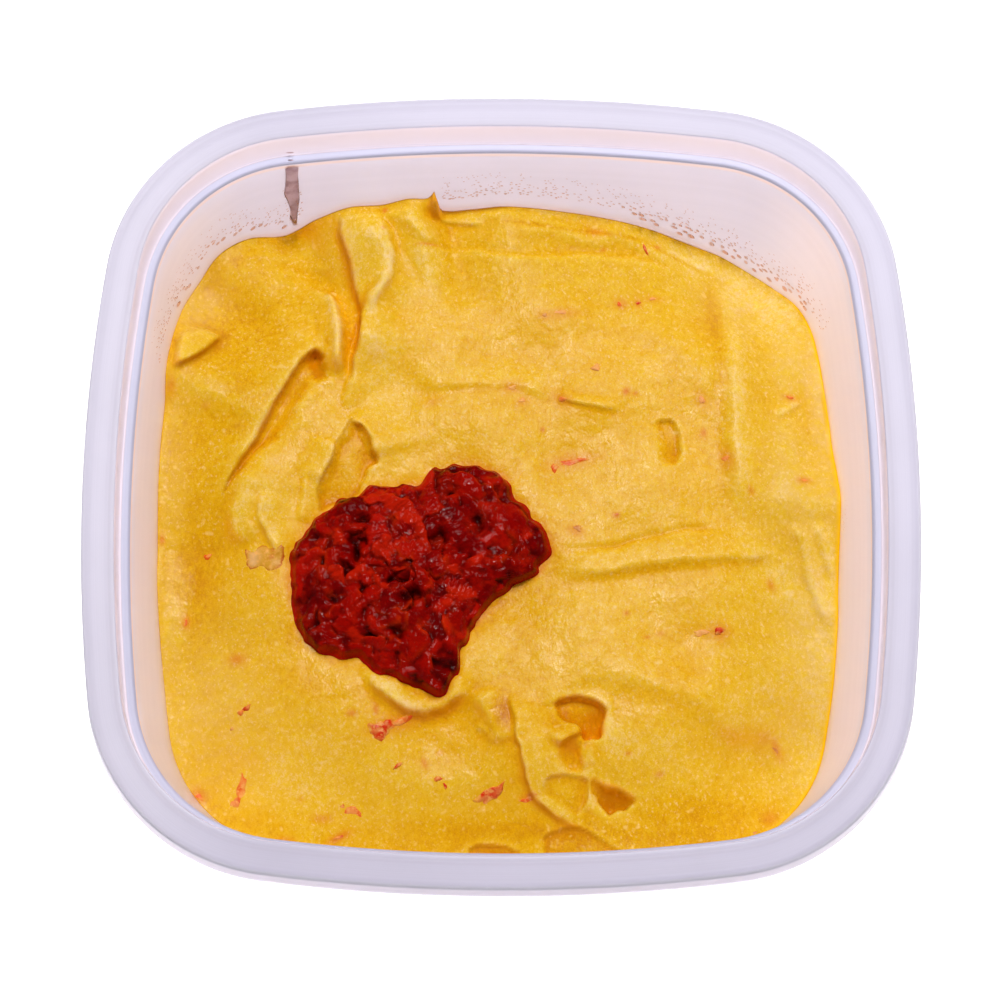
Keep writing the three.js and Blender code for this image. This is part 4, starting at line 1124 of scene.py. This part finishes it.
def pepper_pieces(x, y, share):
    """Height, number and edge share of chopped pieces that lie over each other like shingles."""
    rng = np.random.default_rng(21)
    wx, wy = wander(x, y, 31, (0.4, 1.6), (0.2, 0.7))
    full = RELISH_EDGE + RELISH_RISE * np.maximum(1 - share ** 2, 0) ** 0.8
    height = 0.7 * full + 0.3 * noise(x, y, 1.8, 35)
    number, rim = np.full(x.shape, -1), np.zeros(x.shape)
    for i in range(PIECES):
        angle = i * GOLDEN_TURN + rng.uniform(-0.3, 0.3)
        far = 0.97 * math.sqrt((i + 0.5) / PIECES) * float(relish_reach(np.array(angle)))
        a = rng.uniform(1.4, 3.8)
        b = a * rng.uniform(0.3, 0.75)
        turn, squareness = rng.uniform(0, math.pi), rng.uniform(2.2, 4.5)
        tilt_u, tilt_v = rng.uniform(-0.3, 0.3), rng.uniform(-0.55, 0.55)
        top, curl = rng.uniform(-0.5, 0.25), rng.uniform(0.0, 0.7)
        u, v = turned(wx - RELISH_X - far * math.cos(angle),
                      wy - RELISH_Y - far * math.sin(angle), turn)
        edge = (np.abs(u / a) ** squareness + np.abs(v / b) ** squareness) ** (1 / squareness)
        rise = (0.82 * full + top + tilt_u * u + tilt_v * v + curl * (1 - edge ** 2)
                - 0.2 * edge ** 6 + 0.12 * noise(3.0 * u, 0.5 * v, 1.0, 40 + i % 7))
        above = (edge < 1) & (rise > height)
        height, number = np.where(above, rise, height), np.where(above, i, number)
        rim = np.where(above, edge, rim)
    return height, number, rim


def relish_lift(x, y, share):
    """Thickness of the relish, number and edge share of its pieces, and the painted shade of its pits
    and gaps.
    """
    lift, number, rim = pepper_pieces(x, y, share)
    lift = lift + 0.08 * noise(x, y, 0.7, 37) + 0.05 * noise(x, y, 0.4, 38)
    pit_x, pit_y = x + 0.8 * noise(x, y, 1.4, 51), y + 0.8 * noise(x, y, 1.4, 52)
    pits = [oval(pit_x, pit_y, *place) for *place, _ in PITS]
    lift = lift - sum(depth * pit for (*_, depth), pit in zip(PITS, pits))
    lift = blur(np.clip(lift, THINNEST, THICKEST), 1)
    deep = np.clip((blur(lift, 40) - lift) / 0.4, 0, 1)
    pit_shade = np.maximum(0.9 * smoothstep(np.max(pits, 0), 0.2, 0.9), 0.85 * deep)
    return lift * (1 - 0.95 * smoothstep(share, 0.945, 1.0)), number, rim, pit_shade


def relish_tint(x, y, turn, share, number, rim, pit_shade):
    """Each piece has its own red, with orange here and there at its edge, painted shade in pits and
    gaps and painted light at the rim.
    """
    picks = np.random.default_rng(22).integers(len(PEPPER_TINTS), size=PIECES)
    own = np.array(PEPPER_TINTS)[picks]
    tint = np.where((number >= 0)[..., None], own[number], SAUCE_TINT)
    tint = blend(tint, ORANGE_EDGE, 0.4 * smoothstep(rim, 0.75, 0.97)
                 * smoothstep(noise(x, y, 2.6, 39), 0, 0.7))
    tint = np.stack([blur(tint[..., i], 2) for i in range(3)], -1)
    # Painted shade in the pits and in the gaps between pieces
    tint = blend(tint, PIT_SHADE_TINT, pit_shade)
    # Painted light: the rim is brightened to offset the shade on its sloping side
    tint = blend(tint, BRIGHTENED_RIM_TINT, 0.4 * smoothstep(share, 0.94, 0.99))
    warm = 0.12 + 0.12 * np.sin(turn - 0.2)
    return blend(tint, ORANGE_EDGE, warm * smoothstep(share, 0.95, 1.0))


def relish_look():
    look = Look("pepper_relish", Specular_IOR_Level=0.07)
    streaks = look.noise(420.0, 4.0, 0.6)
    base = look.tinted(look.colour("tint"), streaks, (0.5, 0.0), (0.72, 0.5), tint=(196, 30, 4))
    look.to("Base Color", look.tinted(base, streaks, (0.3, 0.6), (0.45, 0.0), tint=(84, 0, 0)))
    look.to("Roughness", look.ramp(look.noise(700.0, 2.0), (0.45, 0.04), (0.68, 0.13)))
    fine = look.bump(look.noise(3400.0, 1.0, 0.6), 0.8, 0.07)
    look.to("Normal", look.bump(look.noise(700.0, 2.0, 0.6), 0.6, 0.2, fine))
    return look.material


def make_relish():
    shares = np.clip(1 - np.linspace(0.992, 0, RELISH_RINGS) ** 1.15, 0.008, 1)
    share, turn = np.meshgrid(shares, even_turns(RELISH_SIDES), indexing="ij")
    r = share * relish_reach(turn)
    x, y = RELISH_X + r * np.cos(turn), RELISH_Y + r * np.sin(turn)
    ragged = share ** 4 * (0.6 * noise(x, y, 2.1, 36) + 0.12 * noise(x, y, 0.8, 60))
    x, y = x + ragged * np.cos(turn), y + ragged * np.sin(turn)
    ground = hummus_top(x, y)
    lift, number, rim, pit_shade = relish_lift(x, y, share)
    points = [np.stack([x, y, ground + lift], -1).reshape(-1, 3)]
    for out in UNDERSIDE_SHARES:
        px, py = RELISH_X + out * (x[-1] - RELISH_X), RELISH_Y + out * (y[-1] - RELISH_Y)
        points.append(np.stack([px, py, hummus_top(px, py) - UNDER_HUMMUS], 1))
    below = hummus_top([RELISH_X], [RELISH_Y])[0] - UNDER_HUMMUS
    points.append([(RELISH_X, RELISH_Y, ground[0].mean() + lift[0].mean()),
                   (RELISH_X, RELISH_Y, below)])
    points = np.vstack(points)
    relish = mesh_piece("pepper_relish", points, loft_faces(RELISH_RINGS + 2, RELISH_SIDES))
    tint = relish_tint(x, y, turn, share, number, rim, pit_shade)
    lower = np.tile(BRIGHTENED_RIM_TINT, (len(points) - lift.size, 1))
    add_colour(relish, "tint", np.vstack([tint.reshape(-1, 3), lower]))
    relish.data.materials.append(relish_look())
    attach(relish, "root")
    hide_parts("relish")


# ---------------------------------------------------------------- on the tub's wall

# Bands of condensation: first and last degree, lowest and further height over the edge of the
# hummus, smallest and largest half size, how many
MIST = [
    (38, 70, 1.8, 2.6, 0.28, 0.62, 150), (32, 100, 3.4, 5.6, 0.1, 0.24, 420),
    (123, 146, 2.2, 2.2, 0.24, 0.56, 34), (122, 156, 3.4, 5, 0.1, 0.2, 260),
    (80, 100, 3.4, 3, 0.1, 0.2, 70), (121.2, 123.8, 3.5, 8, 0.12, 0.22, 40),
    (-1, 4, 0.8, 3, 0.06, 0.12, 16),
]

DROP_SPACING, DROP_FLATNESS = 2.3, 0.25

# The brown streak of dried food on the back wall: (degrees, height) round its outline
STREAK = [
    (122.4, 37.7), (121.9, 37.9), (121.2, 37.9), (120.6, 37.6), (121.0, 35.0), (121.2, 32.8),
    (121.6, 29.0), (122.3, 25.7), (122.9, 22.3), (123.4, 22.4), (123.6, 24.4), (123.2, 26.6),
    (123.3, 28.6), (123.5, 31.0), (123.0, 33.2), (122.6, 35.6),
]
STREAK_RINGS = 5
STREAK_STANDS, STREAK_SINKS, STREAK_BACK = 0.06, 0.02, 0.1  # off the wall and into it
# Small marks on the ledge and the step: degrees, inset, height, half sizes
MARKS = [(121.3, 5.9, 38.5, 0.45, 0.12, 0.06), (121.0, 5.05, 39.3, 0.7, 0.1, 0.08)]


def wall_points(angle, z, off=0.0):
    return outline_points(angle, wall_inset(z) + off, z)


def unit_ball():
    """Points and faces of a ball of radius 1."""
    rings, sides = 6, 10
    tilt, turn = np.pi * np.arange(1, rings + 1) / (rings + 1), even_turns(sides)
    points = [np.stack([np.sin(t) * np.cos(turn), np.sin(t) * np.sin(turn),
                        np.full(sides, np.cos(t))], 1) for t in tilt]
    return np.vstack(points + [[(0, 0, 1), (0, 0, -1)]]), loft_faces(rings, sides)


def droplet_look():
    look = Look("condensation", Roughness=0.05, IOR=1.06, Transmission_Weight=0.9,
                Coat_Weight=0.5, Coat_Roughness=0.08)
    look.to("Base Color", look.ramp(look.noise(300.0), (0.4, linear(246, 192, 156)),
                                    (0.6, linear(252, 220, 200))))
    return look.material


def make_droplets():
    """Condensation on the back wall, larger lower down, with a clear band over the hummus."""
    rng = np.random.default_rng(5)
    ball, ball_faces = unit_ball()
    bodies, placed = Bodies(), np.zeros((0, 3))
    for first, last, low, further, small, large, count in MIST:
        for _ in range(count):
            turn, height = math.radians(rng.uniform(first, last)), rng.uniform(0, 1) ** 1.3
            size = small + (large - small) * (1 - height) * rng.uniform(0.5, 1)
            wide, tall = size * rng.uniform(0.9, 1.3), size * rng.uniform(0.8, 1.2)
            level = float(edge_level(np.array(turn))) + low + further * height
            at = wall_points(np.array(turn), np.array(level))
            if (np.linalg.norm(placed - at, axis=1) < DROP_SPACING * size).any():
                continue
            placed = np.vstack([placed, at])
            out = np.array([math.cos(turn), math.sin(turn), 0.0])
            side = np.array([-math.sin(turn), math.cos(turn), 0.0])
            axes = np.stack([side * wide, -out * DROP_FLATNESS * size, np.array([0, 0, tall])])
            bodies.add(ball @ axes + at, ball_faces)
    drops = bodies.piece("condensation")
    drops.data.materials.append(droplet_look())
    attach(drops, "root")


def smear_look():
    look = Look("dried_smears", Roughness=0.45, IOR=1.06, Transmission_Weight=0.8)
    look.to("Base Color", look.ramp(look.noise(500.0, 4.0), (0.4, linear(192, 160, 160)),
                                    (0.6, linear(232, 208, 208))))
    look.to("Normal", look.bump(look.noise(900.0), 0.3, 0.1))
    return look.material


def make_smears():
    """The thin dried streak on the wall, and the small marks beside it."""
    bodies = Bodies()
    outline = np.array(STREAK)
    middle = outline.mean(0)
    points = []
    for share in np.linspace(1, 0.2, STREAK_RINGS):
        degrees, z = (middle + share * (outline - middle)).T
        off = STREAK_STANDS if share < 1 else -STREAK_SINKS
        points.append(wall_points(np.radians(degrees), z, off))
    degrees, z = middle.reshape(2, 1)
    points += [wall_points(np.radians(degrees), z, off) for off in (STREAK_STANDS, -STREAK_BACK)]
    bodies.add(np.vstack(points), dome_faces(STREAK_RINGS, len(STREAK)))
    ball, ball_faces = unit_ball()
    for degrees, inset, z, *half_sizes in MARKS:
        bodies.add(ball * half_sizes + outline_points(np.radians(degrees), inset, z), ball_faces)
    smears = bodies.piece("dried_smears")
    smears.data.materials.append(smear_look())
    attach(smears, "root")


# ---------------------------------------------------------------- everything

def main():
    bpy.context.scene.view_settings.view_transform = "Standard"
    make_camera()
    make_light()
    make_floor()
    make_tub()
    make_hummus()
    make_flakes()
    make_relish()
    make_droplets()
    make_smears()


main()
